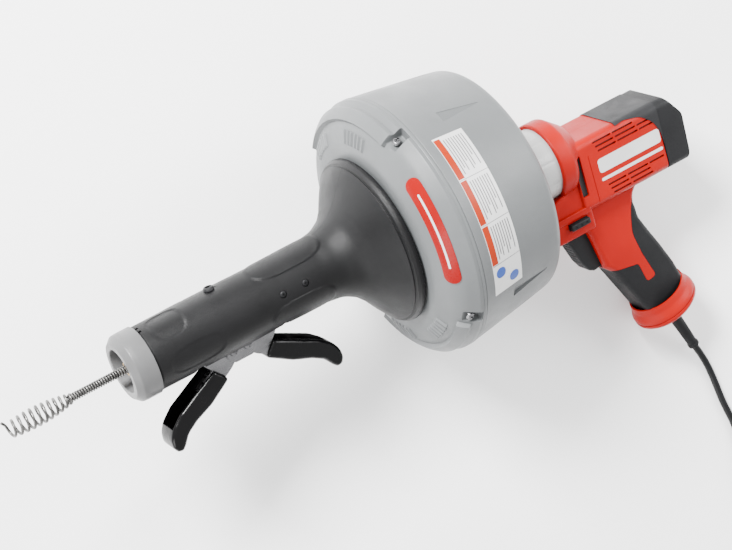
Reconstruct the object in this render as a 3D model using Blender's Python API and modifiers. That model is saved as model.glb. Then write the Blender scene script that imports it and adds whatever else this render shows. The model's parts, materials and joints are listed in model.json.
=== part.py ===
"""Hand-held drum drain cleaner, lying on its side with its cord coiled beside it.

The machine is drawn in its own tool frame: X runs along the drum's axis from the nose (-X) to the motor
(+X), the grip and the two feed levers point down (-Z), and Y is the clamshells' parting normal.  One empty,
tool_frame, then lays the whole machine on the floor.  The cord is drawn in world coordinates.
Everything is in metres.
"""

import math

import bmesh
import bpy
from mathutils import Vector

# ---- Driving dimensions -----------------------------------------------------------------------------
GAP = 0.0003  # clearance between solids that touch
MERGE = 0.00001

CABLE_RADIUS = 0.004
CABLE_FRONT_X, CABLE_REAR_X = -0.3085, 0.022
BULB_TURNS, BULB_WIRE = 9, 0.00095
BULB_REAR_X, BULB_FRONT_X = -0.3100, -0.3640
BULB_START_RADIUS, BULB_RADIUS = 0.0031, 0.0088

SNOUT_RADIUS = 0.0303
SNOUT_BORE = 0.027
SNOUT_FRONT_X = -0.2337
CONE_RADIUS = 0.0796
CONE_RIM_X = 0.0045
NOSE_FRONT_X = -0.257
NOSE_RADIUS = 0.0315

LIP_RADIUS = 0.124
LIP_FRONT_X, LIP_REAR_X = 0.031, 0.038
DRUM_REAR_RADIUS, DRUM_TAPER_END_X = 0.1112, 0.126
DRUM_REAR_X = 0.136
DRUM_WALL = 0.0034
DRUM_STEPS = 36
NOTCH_ANGLES = (58.0, 148.0, 238.0, 328.0)  # degrees from -Y towards +Z
RAISED_PADS = ((62.0, 144.0), (242.0, 324.0))

COLLAR_Z = -0.010
COLLAR_RADIUS = 0.035
COLLAR_FRONT_X, COLLAR_REAR_X = 0.146, 0.204
FLANGE_RADIUS = 0.039
FLANGE_X = 0.187

MOTOR_Z = -0.031
HOUSING_HALF_WIDTH, HOUSING_HALF_HEIGHT, HOUSING_CORNER = 0.030, 0.0345, 0.008
HOUSING_FRONT_X, HOUSING_REAR_X = 0.205, 0.306
CAP_REAR_X = 0.333
WALL = 0.0025

GRIP_LEAN = math.radians(19.0)
GRIP_FOOT = Vector((0.2775, 0.0, -0.198))  # centre of the grip's bottom face
GRIP_HALF_LENGTH, GRIP_HALF_WIDTH, GRIP_ROUNDING = 0.024, 0.018, 0.012
SLEEVE_THICKNESS = 0.002
FLARE_RADIUS, FLARE_SQUASH = 0.0345, 0.93
FLARE_HEIGHT = 0.014
STRAIN_RELIEF_LENGTH = 0.057

LEVER_PIVOT_X = (-0.160, -0.146)  # front, rear
LEVER_PIVOT_Z = -0.027
LEVER_PIN_RADIUS = 0.0025
ROLLER_REACH, ROLLER_Z, ROLLER_RADIUS, ROLLER_HALF_WIDTH = 0.028, -0.020, 0.0076, 0.005
ROLLER_SKEW = math.radians(8.0)
ARM_HALF_WIDTH, FORK_HALF_GAP = 0.0105, 0.0078
LEVER_GRIP_HALF_WIDTH = 0.0138
SLOT_HALF_WIDTH = 0.0148

MODULE_FAST, MODULE_SLOW = 0.0008, 0.0010
MOTOR_PINION_TEETH, LAY_GEAR_TEETH = 10, 30
LAY_PINION_TEETH, SPINDLE_GEAR_TEETH = 9, 40
LAYSHAFT_Y, LAYSHAFT_Z = 0.01253, -0.02105

LAY_OVER = math.radians(-73.87)  # turned about X until the flare meets the floor
NOSE_UP = math.atan2(LIP_RADIUS - DRUM_REAR_RADIUS, DRUM_TAPER_END_X - LIP_REAR_X)
TOOL_PLACE = (0.0157, 0.0666, 0.12795)  # centres the machine over the origin, standing on z = 0

# World coordinates: the cord runs out of its strain relief, over the floor and into a neat coil.
CORD_RADIUS = 0.0035
CORD_ROUTE = ((0.3028, -0.1885, 0.0116), (0.3068, -0.2009, 0.0076), (0.3094, -0.2125, 0.0050),
              (0.3104, -0.2255, 0.0038), (0.3103, -0.2395, 0.0036), (0.3099, -0.2545, 0.0036),
              (0.3106, -0.2690, 0.0036), (0.3112, -0.2800, 0.0037), (0.3097, -0.3008, 0.0047))
COIL_CENTRE, COIL_BOTTOM = (0.3557, -0.3335), 0.0012
COIL_RADIUS, COIL_LAYERS, COIL_TURNS_WIDE = 0.0385, 2, 4  # radius at the middle of the turns
TIE_WIDTH, TIE_THICKNESS = 0.012, 0.0008
PLUG_AXIS_Z = 0.0083
PLUG_LENGTH, PLUG_HALF_WIDTH, PLUG_HALF_HEIGHT, PLUG_RELIEF_LENGTH = 0.042, 0.0175, 0.008, 0.026
PIN_RADIUS, PIN_LENGTH, PIN_SPACING = 0.0024, 0.019, 0.019


# ---- Scene and finish helpers -----------------------------------------------------------------------
def clear_scene():
    for thing in list(bpy.data.objects):
        bpy.data.objects.remove(thing, do_unlink=True)


def new_collection(name):
    collection = bpy.data.collections.new(name)
    bpy.context.scene.collection.children.link(collection)
    return collection


def material(name, colour, roughness, metallic=0.0):
    made = bpy.data.materials.new(name)
    made.use_nodes = True
    shader = made.node_tree.nodes["Principled BSDF"]
    shader.inputs["Base Color"].default_value = (*colour, 1.0)
    shader.inputs["Roughness"].default_value = roughness
    shader.inputs["Metallic"].default_value = metallic
    return made


def place(thing, collection):
    collection.objects.link(thing)
    return thing


def as_cutter(thing):
    thing.hide_render = True
    thing.display_type = "WIRE"
    return thing


def from_bmesh(name, shape, collection):
    mesh = bpy.data.meshes.new(name)
    shape.to_mesh(mesh)
    shape.free()
    return place(bpy.data.objects.new(name, mesh), collection)


def baked(thing, name=None):
    """The evaluated shape as a plain mesh object in the same place; the source object is removed."""
    bpy.context.view_layer.update()
    graph = bpy.context.evaluated_depsgraph_get()
    mesh = bpy.data.meshes.new_from_object(thing.evaluated_get(graph))
    if thing.type == "CURVE":
        shape = bmesh.new()
        shape.from_mesh(mesh)
        bmesh.ops.remove_doubles(shape, verts=shape.verts, dist=MERGE)
        shape.to_mesh(mesh)
        shape.free()
    made = bpy.data.objects.new(name or thing.name, mesh)
    made.matrix_world = thing.matrix_world.copy()
    collection = thing.users_collection[0]
    old_name = thing.name
    bpy.data.objects.remove(thing, do_unlink=True)
    place(made, collection)
    made.name = name or old_name
    return made


def twin(thing, name):
    """A second object that shares the mesh."""
    made = bpy.data.objects.new(name, thing.data)
    made.matrix_world = thing.matrix_world.copy()
    return place(made, PARTS)


def boolean(thing, other, operation="DIFFERENCE", solver="EXACT"):
    step = thing.modifiers.new(operation.title(), "BOOLEAN")
    step.operation = operation
    step.object = other
    step.solver = solver
    as_cutter(other)
    return thing


def bevel(thing, width, segments=3, angle=50.0):
    step = thing.modifiers.new("Bevel", "BEVEL")
    step.width = width
    step.segments = segments
    step.limit_method = "ANGLE"
    step.angle_limit = math.radians(angle)
    return thing


def smooth(thing, angle=35.0):
    thing.data.shade_smooth()
    thing.data.set_sharp_from_angle(angle=math.radians(angle))
    return thing


# ---- Shape helpers ----------------------------------------------------------------------------------
def turned(name, profile, steps=48, centre=(0.0, 0.0), collection=None):
    """A solid of revolution about the tool's X axis, moved to centre (y, z).

    profile lists (x, radius) down the outer side from the nose end to the motor end, then back along the
    bore.  A profile whose two ends lie on the axis stays open there; any other closes on itself.
    """
    shape = bmesh.new()
    verts = [shape.verts.new((radius, 0.0, -x)) for x, radius in profile]
    for first, second in zip(verts, verts[1:]):
        shape.edges.new((first, second))
    if profile[0][1] > 0.0 or profile[-1][1] > 0.0:
        shape.edges.new((verts[-1], verts[0]))
    made = from_bmesh(name, shape, collection or PARTS)
    step = made.modifiers.new("Screw", "SCREW")
    step.steps = step.render_steps = steps
    step.use_merge_vertices = True
    step.merge_threshold = MERGE
    step.use_smooth_shade = True
    made.rotation_euler = (0.0, -math.pi / 2, 0.0)
    made.location = (0.0, *centre)
    return made


def aim(thing, origin, direction):
    """Turns a piece drawn about the X axis, nose first, so that its +X runs along direction from origin."""
    thing.rotation_mode = "QUATERNION"
    turn = Vector((1.0, 0.0, 0.0)).rotation_difference(Vector(direction))
    thing.rotation_quaternion = turn @ thing.rotation_euler.to_quaternion()
    thing.location = origin
    return thing


def box(name, low, high, collection=None):
    shape = bmesh.new()
    bmesh.ops.create_cube(shape, size=1.0)
    size = [b - a for a, b in zip(low, high)]
    bmesh.ops.scale(shape, vec=size, verts=shape.verts)
    made = from_bmesh(name, shape, collection or PARTS)
    made.location = [(a + b) / 2 for a, b in zip(low, high)]
    return made


def cylinder(name, radius, start, end, sides=24, collection=None):
    start, end = Vector(start), Vector(end)
    shape = bmesh.new()
    bmesh.ops.create_cone(shape, cap_ends=True, segments=sides, radius1=radius, radius2=radius,
                          depth=(end - start).length)
    made = from_bmesh(name, shape, collection or PARTS)
    made.location = (start + end) / 2
    made.rotation_euler = Vector((0.0, 0.0, 1.0)).rotation_difference(end - start).to_euler()
    return made


def outline_solid(name, points, half_width, plane="XZ", middle=0.0, collection=None):
    """A flat outline given an even thickness: an XZ outline along Y, or a YZ outline along X."""
    curve = bpy.data.curves.new(name, "CURVE")
    curve.dimensions = "2D"
    curve.fill_mode = "BOTH"
    curve.extrude = half_width
    spline = curve.splines.new("POLY")
    spline.points.add(len(points) - 1)
    for point, (u, v) in zip(spline.points, points):
        point.co = (u, v, 0.0, 1.0)
    spline.use_cyclic_u = True
    made = place(bpy.data.objects.new(name, curve), collection or PARTS)
    if plane == "XZ":
        made.rotation_euler = (math.pi / 2, 0.0, 0.0)
        made.location = (0.0, middle, 0.0)
    else:
        made.rotation_euler = (math.pi / 2, 0.0, math.pi / 2)
        made.location = (middle, 0.0, 0.0)
    return baked(made, name)


def arc(centre, radius, start, end, count):
    """Points on an arc, angles in degrees."""
    angles = [math.radians(start + (end - start) * i / (count - 1)) for i in range(count)]
    return [(centre[0] + radius * math.cos(a), centre[1] + radius * math.sin(a)) for a in angles]


def rounded_rectangle(half_u, half_v, corner, centre=(0.0, 0.0), count=4):
    points = []
    for sign_u, sign_v, start in ((1, 1, 0), (-1, 1, 90), (-1, -1, 180), (1, -1, 270)):
        middle = (centre[0] + sign_u * (half_u - corner), centre[1] + sign_v * (half_v - corner))
        points += arc(middle, corner, start, start + 90, count)
    return points


def inset(points, distance):
    """The outline moved inwards, each corner along the mean of its two sides' normals."""
    area = sum(a[0] * b[1] - b[0] * a[1] for a, b in zip(points, points[1:] + points[:1]))
    turn = 1.0 if area > 0 else -1.0
    moved = []
    for before, here, after in zip(points[-1:] + points[:-1], points, points[1:] + points[:1]):
        first = Vector((here[0] - before[0], here[1] - before[1])).normalized()
        second = Vector((after[0] - here[0], after[1] - here[1])).normalized()
        normal = Vector((-first.y - second.y, first.x + second.x)) * turn
        normal.normalize()
        reach = distance / max(0.5, normal.dot(Vector((-first.y, first.x)) * turn))
        moved.append((here[0] + normal.x * reach, here[1] + normal.y * reach))
    return moved


def gear_outline(teeth, module, centre, tooth_depth=None):
    """Tooth tips stop just short of the pitch circle, so meshing gears never share space at any angle."""
    tip = teeth * module / 2 - 0.00016
    root = tip - (tooth_depth or 1.1 * module)
    points = []
    for tooth in range(teeth):
        for share, radius in ((-0.25, root), (0.25, tip)):
            angle = 2 * math.pi * (tooth + share) / teeth
            points.append((centre[0] + radius * math.cos(angle), centre[1] + radius * math.sin(angle)))
    return points


def wire(name, points, radius, resolution=2):
    """A round wire or cord through points, with flat caps."""
    curve = bpy.data.curves.new(name, "CURVE")
    curve.dimensions = "3D"
    curve.bevel_depth = radius
    curve.bevel_resolution = resolution
    curve.use_fill_caps = True
    spline = curve.splines.new("POLY")
    spline.points.add(len(points) - 1)
    for point, place_at in zip(spline.points, points):
        point.co = (*place_at, 1.0)
    return place(bpy.data.objects.new(name, curve), PARTS)


def polar(angle, radius, x):
    """A point on the drum: angle in degrees from -Y towards +Z."""
    turn = math.radians(angle)
    return Vector((x, -radius * math.cos(turn), radius * math.sin(turn)))


def screw(name, seat, direction, head_radius=0.0036, length=0.012):
    """A pan-head screw with a cross-free turned head; direction points out of the head."""
    shank = head_radius * 0.52
    profile = [(-0.0024, 0.0), (-0.0022, head_radius * 0.7), (0.0, head_radius), (0.0, shank),
               (length, shank), (length, 0.0)]
    made = turned(name, profile, steps=8)
    return aim(made, seat, -Vector(direction))


# ---- Drum and spindle -------------------------------------------------------------------------------
def drum_front_shell():
    profile = [(-0.030, 0.0217), (0.0075, 0.0217), (0.0068, 0.084), (0.008, 0.096), (0.0125, 0.1065),
               (0.0195, 0.1152), (0.027, 0.1212), (LIP_FRONT_X, LIP_RADIUS), (LIP_REAR_X, LIP_RADIUS),
               (LIP_REAR_X, 0.1206), (0.030, 0.1190), (0.021, 0.1122), (0.0145, 0.1032), (0.0110, 0.092),
               (0.0110, 0.0182), (-0.030, 0.0182)]
    shell = turned("drum_front_shell", profile, steps=DRUM_STEPS)
    pad_profile = [(0.0068, 0.0862), (0.0052, 0.090), (0.0052, 0.1020), (0.0075, 0.1066), (0.0105, 0.1090),
                   (0.024, 0.1150), (0.024, 0.1130), (0.0178, 0.1102), (0.0135, 0.1045), (0.0092, 0.0945)]
    for number, (start, end) in enumerate(RAISED_PADS):
        pad = turned(f"pad_form_{number}", pad_profile, steps=DRUM_STEPS, collection=CUTTERS)
        sector = [(0.0, 0.0)] + [tuple(polar(a, 0.16, 0.0).yz)
                                 for a in [start + (end - start) * i / 6 for i in range(7)]]
        boolean(pad, outline_solid(f"pad_sector_{number}", sector, 0.03, "YZ", 0.012, CUTTERS), "INTERSECT")
        boolean(shell, baked(pad), "UNION")
    for number, angle in enumerate(NOTCH_ANGLES):
        notch = box(f"notch_{number}", (0.013, -0.0065, -0.007), (0.034, 0.0065, 0.009), CUTTERS)
        notch.location = polar(angle, 0.1205, 0.0215)
        notch.rotation_euler = (math.radians(90.0 - angle), 0.0, 0.0)
        boolean(shell, notch)
    return shell


def drum_rear_shell():
    profile = [(0.0383, 0.1235), (DRUM_TAPER_END_X, DRUM_REAR_RADIUS), (0.1315, 0.1078), (0.1348, 0.1015),
               (DRUM_REAR_X, 0.092), (DRUM_REAR_X, 0.026), (0.142, 0.0245), (0.142, 0.0124),
               (0.1326, 0.0124), (0.1326, 0.092), (0.1305, 0.1015), (0.1255, 0.1076),
               (0.0383, 0.1235 - DRUM_WALL)]
    return turned("drum_rear_shell", profile, steps=DRUM_STEPS)


def inner_drum():
    profile = [(0.024, 0.072), (0.024, 0.1075), (0.034, 0.112), (0.110, 0.099), (0.117, 0.090),
               (0.117, 0.0225), (0.114, 0.0225), (0.114, 0.088), (0.108, 0.0955), (0.034, 0.1085),
               (0.027, 0.104), (0.027, 0.072)]
    return turned("inner_drum", profile, steps=24)


def stored_cable():
    profile = [(0.043, 0.080), (0.047, 0.0935), (0.097, 0.0925), (0.101, 0.080), (0.097, 0.076),
               (0.047, 0.076)]
    return turned("stored_cable", profile, steps=24)


def drum_hub():
    profile = [(0.1175, 0.020), (0.1322, 0.020), (0.1322, 0.0121), (0.144, 0.0121), (0.144, 0.0064),
               (0.1175, 0.0064)]
    return turned("drum_hub", profile, steps=20)


def spindle():
    shaft = turned("spindle", [(0.121, 0.0), (0.121, 0.006), (0.203, 0.006), (0.203, 0.0)], steps=16)
    teeth = outline_solid("spindle_gear_form", gear_outline(SPINDLE_GEAR_TEETH, MODULE_SLOW, (0.0, 0.0)),
                          0.005, "YZ", 0.195, CUTTERS)
    return boolean(shaft, teeth, "UNION")


def drum_screws():
    return [screw(f"drum_screw_{number + 1}", polar(angle, 0.1168, 0.0245), polar(angle, 1.0, 0.0),
                  head_radius=0.0042, length=0.0018) for number, angle in enumerate(NOTCH_ANGLES)]


# ---- Front handle -----------------------------------------------------------------------------------
def handle_halves():
    profile = [(SNOUT_FRONT_X, 0.0296), (-0.231, 0.0302), (-0.200, SNOUT_RADIUS), (-0.150, SNOUT_RADIUS),
               (-0.100, 0.0298), (-0.062, SNOUT_RADIUS), (-0.050, 0.0314), (-0.040, 0.0348),
               (-0.032, 0.0402), (-0.026, 0.0460), (-0.020, 0.0535), (-0.014, 0.0620), (-0.008, 0.0710),
               (-0.003, 0.0773), (0.0005, CONE_RADIUS), (0.0035, CONE_RADIUS), (CONE_RIM_X, 0.0784),
               (CONE_RIM_X, 0.0763), (0.0015, 0.0752), (-0.0045, 0.0690), (-0.011, 0.0595),
               (-0.014, 0.055), (-0.014, 0.0303), (-0.026, 0.0303), (-0.0263, SNOUT_BORE),
               (SNOUT_FRONT_X, SNOUT_BORE)]
    body = turned("handle_form", profile, steps=32, collection=CUTTERS)
    slot = box("lever_slot", (-0.198, -SLOT_HALF_WIDTH, -0.040), (-0.106, SLOT_HALF_WIDTH, -0.012), CUTTERS)
    boolean(body, bevel(slot, 0.003, 2))
    boolean(body, cylinder("top_screw_hole", 0.0030, (-0.1586, 0, 0.020), (-0.1586, 0, 0.045), 16, CUTTERS))
    body = baked(body)
    made = []
    for name, side in (("handle_left", -1.0), ("handle_right", 1.0)):
        half = twin(body, name)
        low, high = sorted((side * 0.00015, side * 0.1))
        keep = box(f"{name}_keep", (-0.30, low, -0.1), (0.05, high, 0.1), CUTTERS)
        boolean(half, keep, "INTERSECT")
        for number, x in enumerate((-0.1062, -0.0834)):
            if side < 0:
                hole = cylinder(f"side_hole_{number}", 0.0021, (x, -0.035, 0.0067), (x, -0.024, 0.0067), 12,
                                CUTTERS)
                boolean(half, hole)
        made.append(half)
    as_cutter(body)
    bpy.data.objects.remove(body, do_unlink=True)
    return made


def nose_ring():
    profile = [(NOSE_FRONT_X, 0.0265), (-0.2512, 0.0311), (-0.248, NOSE_RADIUS), (-0.234, NOSE_RADIUS),
               (-0.234, 0.0267), (-0.215, 0.0267), (-0.215, 0.0225), (-0.2405, 0.0225), (-0.2405, 0.0084),
               (-0.246, 0.0084), (-0.246, 0.0205), (NOSE_FRONT_X, 0.0205)]
    ring = turned("nose_ring", profile, steps=24)
    for name, low, high in (("window_top", 0.0098, 0.0190), ("window_bottom", -0.0190, -0.0098)):
        boolean(ring, box(name, (-0.248, -0.0098, low), (-0.239, 0.0098, high), CUTTERS))
    return ring


def guide_bush():
    profile = [(-0.252, 0.0062), (-0.250, 0.0080), (-0.236, 0.0080), (-0.236, 0.0047), (-0.252, 0.0047)]
    return turned("guide_bush", profile, steps=14)


def swivel_bearing():
    profile = [(-0.0257, 0.0300), (-0.0143, 0.0300), (-0.0143, 0.0221), (-0.0257, 0.0221)]
    return turned("swivel_bearing", profile, steps=24)


def roller_frame():
    profile = [(-0.206, 0.0267), (-0.099, 0.0267), (-0.099, 0.0215), (-0.206, 0.0215)]
    frame = turned("roller_frame", profile, steps=24)
    slot = box("frame_slot", (-0.1985, -SLOT_HALF_WIDTH, -0.030), (-0.1055, SLOT_HALF_WIDTH, -0.005), CUTTERS)
    boolean(frame, slot)
    hole = cylinder("frame_screw_hole", 0.0030, (-0.1586, 0, 0.018), (-0.1586, 0, 0.030), 16, CUTTERS)
    return boolean(frame, hole)


def lever_bracket():
    outline = [(-0.1677, -0.0170), (-0.1383, -0.0170), (-0.1383, -0.0310), (-0.1440, -0.0375),
               (-0.1620, -0.0375), (-0.1677, -0.0310)]
    bracket = outline_solid("lever_bracket", outline, 0.0126)
    channel = box("bracket_channel", (-0.18, -0.0108, -0.05), (-0.13, 0.0108, -0.0182), CUTTERS)
    boolean(bracket, channel)
    for number, x in enumerate(LEVER_PIVOT_X):
        hole = cylinder(f"bracket_hole_{number}", LEVER_PIN_RADIUS + GAP, (x, -0.02, LEVER_PIVOT_Z),
                        (x, 0.02, LEVER_PIVOT_Z), 14, CUTTERS)
        boolean(bracket, hole)
    return bracket


def lever_pin(name, x):
    """A shouldered pin along Y, drawn about X and turned."""
    head, reach = 0.0044, 0.0129
    profile = [(-0.0142, 0.0), (-0.0142, head), (-reach, head), (-reach, LEVER_PIN_RADIUS),
               (reach, LEVER_PIN_RADIUS), (reach, head), (0.0142, head), (0.0142, 0.0)]
    return aim(turned(name, profile, steps=12), (x, 0.0, LEVER_PIVOT_Z), (0.0, 1.0, 0.0))


def lever_spring():
    """A torsion coil round the front lever's pin."""
    turns, per_turn, radius, width = 3, 8, 0.0042, 0.0118
    points = []
    for step in range(turns * per_turn + 1):
        angle = 2 * math.pi * step / per_turn
        along = -width / 2 + width * step / (turns * per_turn)
        points.append((LEVER_PIVOT_X[0] + radius * math.cos(angle), along,
                       LEVER_PIVOT_Z + radius * math.sin(angle)))
    return wire("lever_spring", points, 0.0007)


def mirrored(points, middle_x):
    return [(2 * middle_x - x, z) for x, z in reversed(points)]


LEVER_MIDDLE_X = sum(LEVER_PIVOT_X) / 2
ARM_OUTLINE = (arc((-0.188, ROLLER_Z), 0.0060, 205, 60, 6) + [(-0.1760, -0.0175), (-0.1680, -0.0228)]
               + arc((-0.160, LEVER_PIVOT_Z), 0.0066, 75, -65, 7)
               + [(-0.1660, -0.0405), (-0.1715, -0.0440), (-0.1960, -0.0568), (-0.1990, -0.0530),
                  (-0.1790, -0.0400), (-0.1880, -0.0300)])
GRIP_TOP = [(-0.1835, -0.0345), (-0.2050, -0.0455), (-0.2250, -0.0560), (-0.2360, -0.0655), (-0.2410, -0.0745),
            (-0.2415, -0.0830), (-0.2385, -0.0880)]
GRIP_UNDER = [(-0.2335, -0.0890), (-0.2295, -0.0850), (-0.2240, -0.0770), (-0.2130, -0.0700),
              (-0.1950, -0.0625), (-0.1730, -0.0485), (-0.1755, -0.0430)]


def lever(end):
    """Arm and vinyl grip of one feed lever; the rear lever is the front one turned end for end."""
    front = end == "front"
    pivot_x = LEVER_PIVOT_X[0 if front else 1]
    flip = (lambda points: points) if front else (lambda points: mirrored(points, LEVER_MIDDLE_X))
    roller_x = pivot_x - ROLLER_REACH if front else pivot_x + ROLLER_REACH

    arm = outline_solid(f"{end}_lever_arm", flip(ARM_OUTLINE), ARM_HALF_WIDTH)
    fork = flip([(-0.200, -0.010), (-0.150, -0.010), (-0.150, -0.0360), (-0.1720, -0.0385),
                 (-0.200, -0.0385)])
    boolean(arm, outline_solid(f"{end}_fork", fork, FORK_HALF_GAP, collection=CUTTERS))
    for kind, x, z, radius in (("pivot", pivot_x, LEVER_PIVOT_Z, LEVER_PIN_RADIUS + GAP),
                               ("roller", roller_x, ROLLER_Z, 0.0038)):
        boolean(arm, cylinder(f"{end}_{kind}_hole", radius, (x, -0.02, z), (x, 0.02, z), 14, CUTTERS))

    grip = outline_solid(f"{end}_lever_grip", flip(GRIP_TOP + GRIP_UNDER), LEVER_GRIP_HALF_WIDTH)
    bevel(grip, 0.0030, 2)
    trough = [(-0.160, -0.0180), (-0.1640, -0.0408), (-0.1713, -0.0446), (-0.1962, -0.0576),
              (-0.2140, -0.0655), (-0.2265, -0.0735), (-0.2305, -0.0805), (-0.2320, -0.0700),
              (-0.2600, -0.0500), (-0.2600, -0.0180)]
    boolean(grip, outline_solid(f"{end}_trough", flip(trough), ARM_HALF_WIDTH + GAP, collection=CUTTERS))
    return arm, grip


def roller(name, x, z, skew, stub):
    """A feed roller with its stub axle in one piece, skewed about Z so that it drives the cable along."""
    profile = [(-stub, 0.0), (-stub, 0.002), (-ROLLER_HALF_WIDTH, 0.002),
               (-ROLLER_HALF_WIDTH, ROLLER_RADIUS - 0.001), (-ROLLER_HALF_WIDTH + 0.001, ROLLER_RADIUS),
               (ROLLER_HALF_WIDTH - 0.001, ROLLER_RADIUS), (ROLLER_HALF_WIDTH, ROLLER_RADIUS - 0.001),
               (ROLLER_HALF_WIDTH, 0.002), (stub, 0.002), (stub, 0.0)]
    made = turned(name, profile, steps=12)
    return aim(made, (x, 0.0, z), (math.sin(skew), math.cos(skew), 0.0))


# ---- Cable ------------------------------------------------------------------------------------------
def drain_cable():
    ends = 0.0006
    profile = [(CABLE_FRONT_X, 0.0), (CABLE_FRONT_X, CABLE_RADIUS - ends),
               (CABLE_FRONT_X + ends, CABLE_RADIUS), (CABLE_REAR_X, CABLE_RADIUS), (CABLE_REAR_X, 0.0)]
    return turned("drain_cable", profile, steps=14)


def bulb_auger():
    """An open coil that swells from the cable to the bulb and ends in a short outward hook."""
    per_turn = 8
    total = BULB_TURNS * per_turn
    points = []
    for step in range(total + 1):
        share = step / total
        swell = math.sin(min(1.0, share / 0.72) * math.pi / 2) ** 1.5
        radius = BULB_START_RADIUS + (BULB_RADIUS - BULB_START_RADIUS) * swell
        angle = 2 * math.pi * step / per_turn
        x = BULB_REAR_X + (BULB_FRONT_X - BULB_REAR_X) * share
        points.append((x, radius * math.cos(angle), radius * math.sin(angle)))
    points += [(BULB_FRONT_X - 0.0014, 0.0078, 0.0046), (BULB_FRONT_X - 0.0034, 0.0054, 0.0078)]
    return wire("bulb_auger", points, BULB_WIRE)


# ---- Motor unit -------------------------------------------------------------------------------------
def grip_point(along, down):
    """Tool-frame (x, z) of a point: along the grip's section, and down past its foot."""
    x = GRIP_FOOT.x + along * math.cos(GRIP_LEAN) + down * math.sin(GRIP_LEAN)
    z = GRIP_FOOT.z + along * math.sin(GRIP_LEAN) - down * math.cos(GRIP_LEAN)
    return x, z


def grip_outline(inward=0.0, foot=0.0):
    """Side view of the grip, moved inwards, with its foot moved down."""
    back = [(0.2925, -0.162), (0.283, -0.138), (0.2725, -0.114), (0.2668, -0.100)]
    crotch = arc((0.2835, -0.0845), 0.0180, 200, 105, 5)
    front = [(0.207, -0.050), (0.207, -0.084), (0.211, -0.100), (0.217, -0.133), (0.226, -0.142)]
    points = front + [grip_point(-GRIP_HALF_LENGTH, 0.0), grip_point(GRIP_HALF_LENGTH, 0.0)]
    points += back + crotch + [(0.290, -0.060), (0.290, -0.050)]
    if inward == 0.0:
        return points
    moved = inset(points, inward)
    foot_at = len(front)
    moved[foot_at] = grip_point(-GRIP_HALF_LENGTH + inward, foot)
    moved[foot_at + 1] = grip_point(GRIP_HALF_LENGTH - inward, foot)
    return moved


def grip_solid(name, inward=0.0, foot=0.0):
    solid = outline_solid(name, grip_outline(inward, foot), GRIP_HALF_WIDTH - inward, collection=CUTTERS)
    return baked(bevel(solid, GRIP_ROUNDING - inward, 3, 60.0))


def sleeve_zone(name, grow):
    """Prism over the side view of the rubber: a lower sleeve and a strip up the grip's back."""
    zone = [(0.200, -0.1345), (0.2515, -0.1440), (0.2565, -0.1660), (0.2680, -0.1640), (0.2590, -0.1360),
            (0.2520, -0.1040), (0.2520, -0.0850), (0.300, -0.0850), (0.335, -0.190), (0.300, -0.230),
            (0.220, -0.230)]
    return outline_solid(name, inset(zone, -grow), 0.04, collection=CUTTERS)


def barrel(name, inward, front_x, rear_x):
    """The motor barrel's rounded square section between two stations."""
    section = rounded_rectangle(HOUSING_HALF_WIDTH - inward, HOUSING_HALF_HEIGHT - inward,
                                HOUSING_CORNER - inward, (0.0, MOTOR_Z))
    return outline_solid(name, section, (rear_x - front_x) / 2, "YZ", (front_x + rear_x) / 2, CUTTERS)


def chin(name, inward):
    outline = [(0.166, -0.0455), (0.214, -0.0300), (0.214, -0.0840), (0.171, -0.0840), (0.166, -0.0790)]
    solid = outline_solid(name, inset(outline, inward), 0.027 - inward, collection=CUTTERS)
    return baked(bevel(solid, 0.006 - inward, 3, 60.0))


def carve(thing, other, operation="DIFFERENCE"):
    """The housing's many cuts, some of them nearly coplanar, which the exact solver leaves open."""
    return boolean(thing, other, operation, "MANIFOLD")


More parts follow.
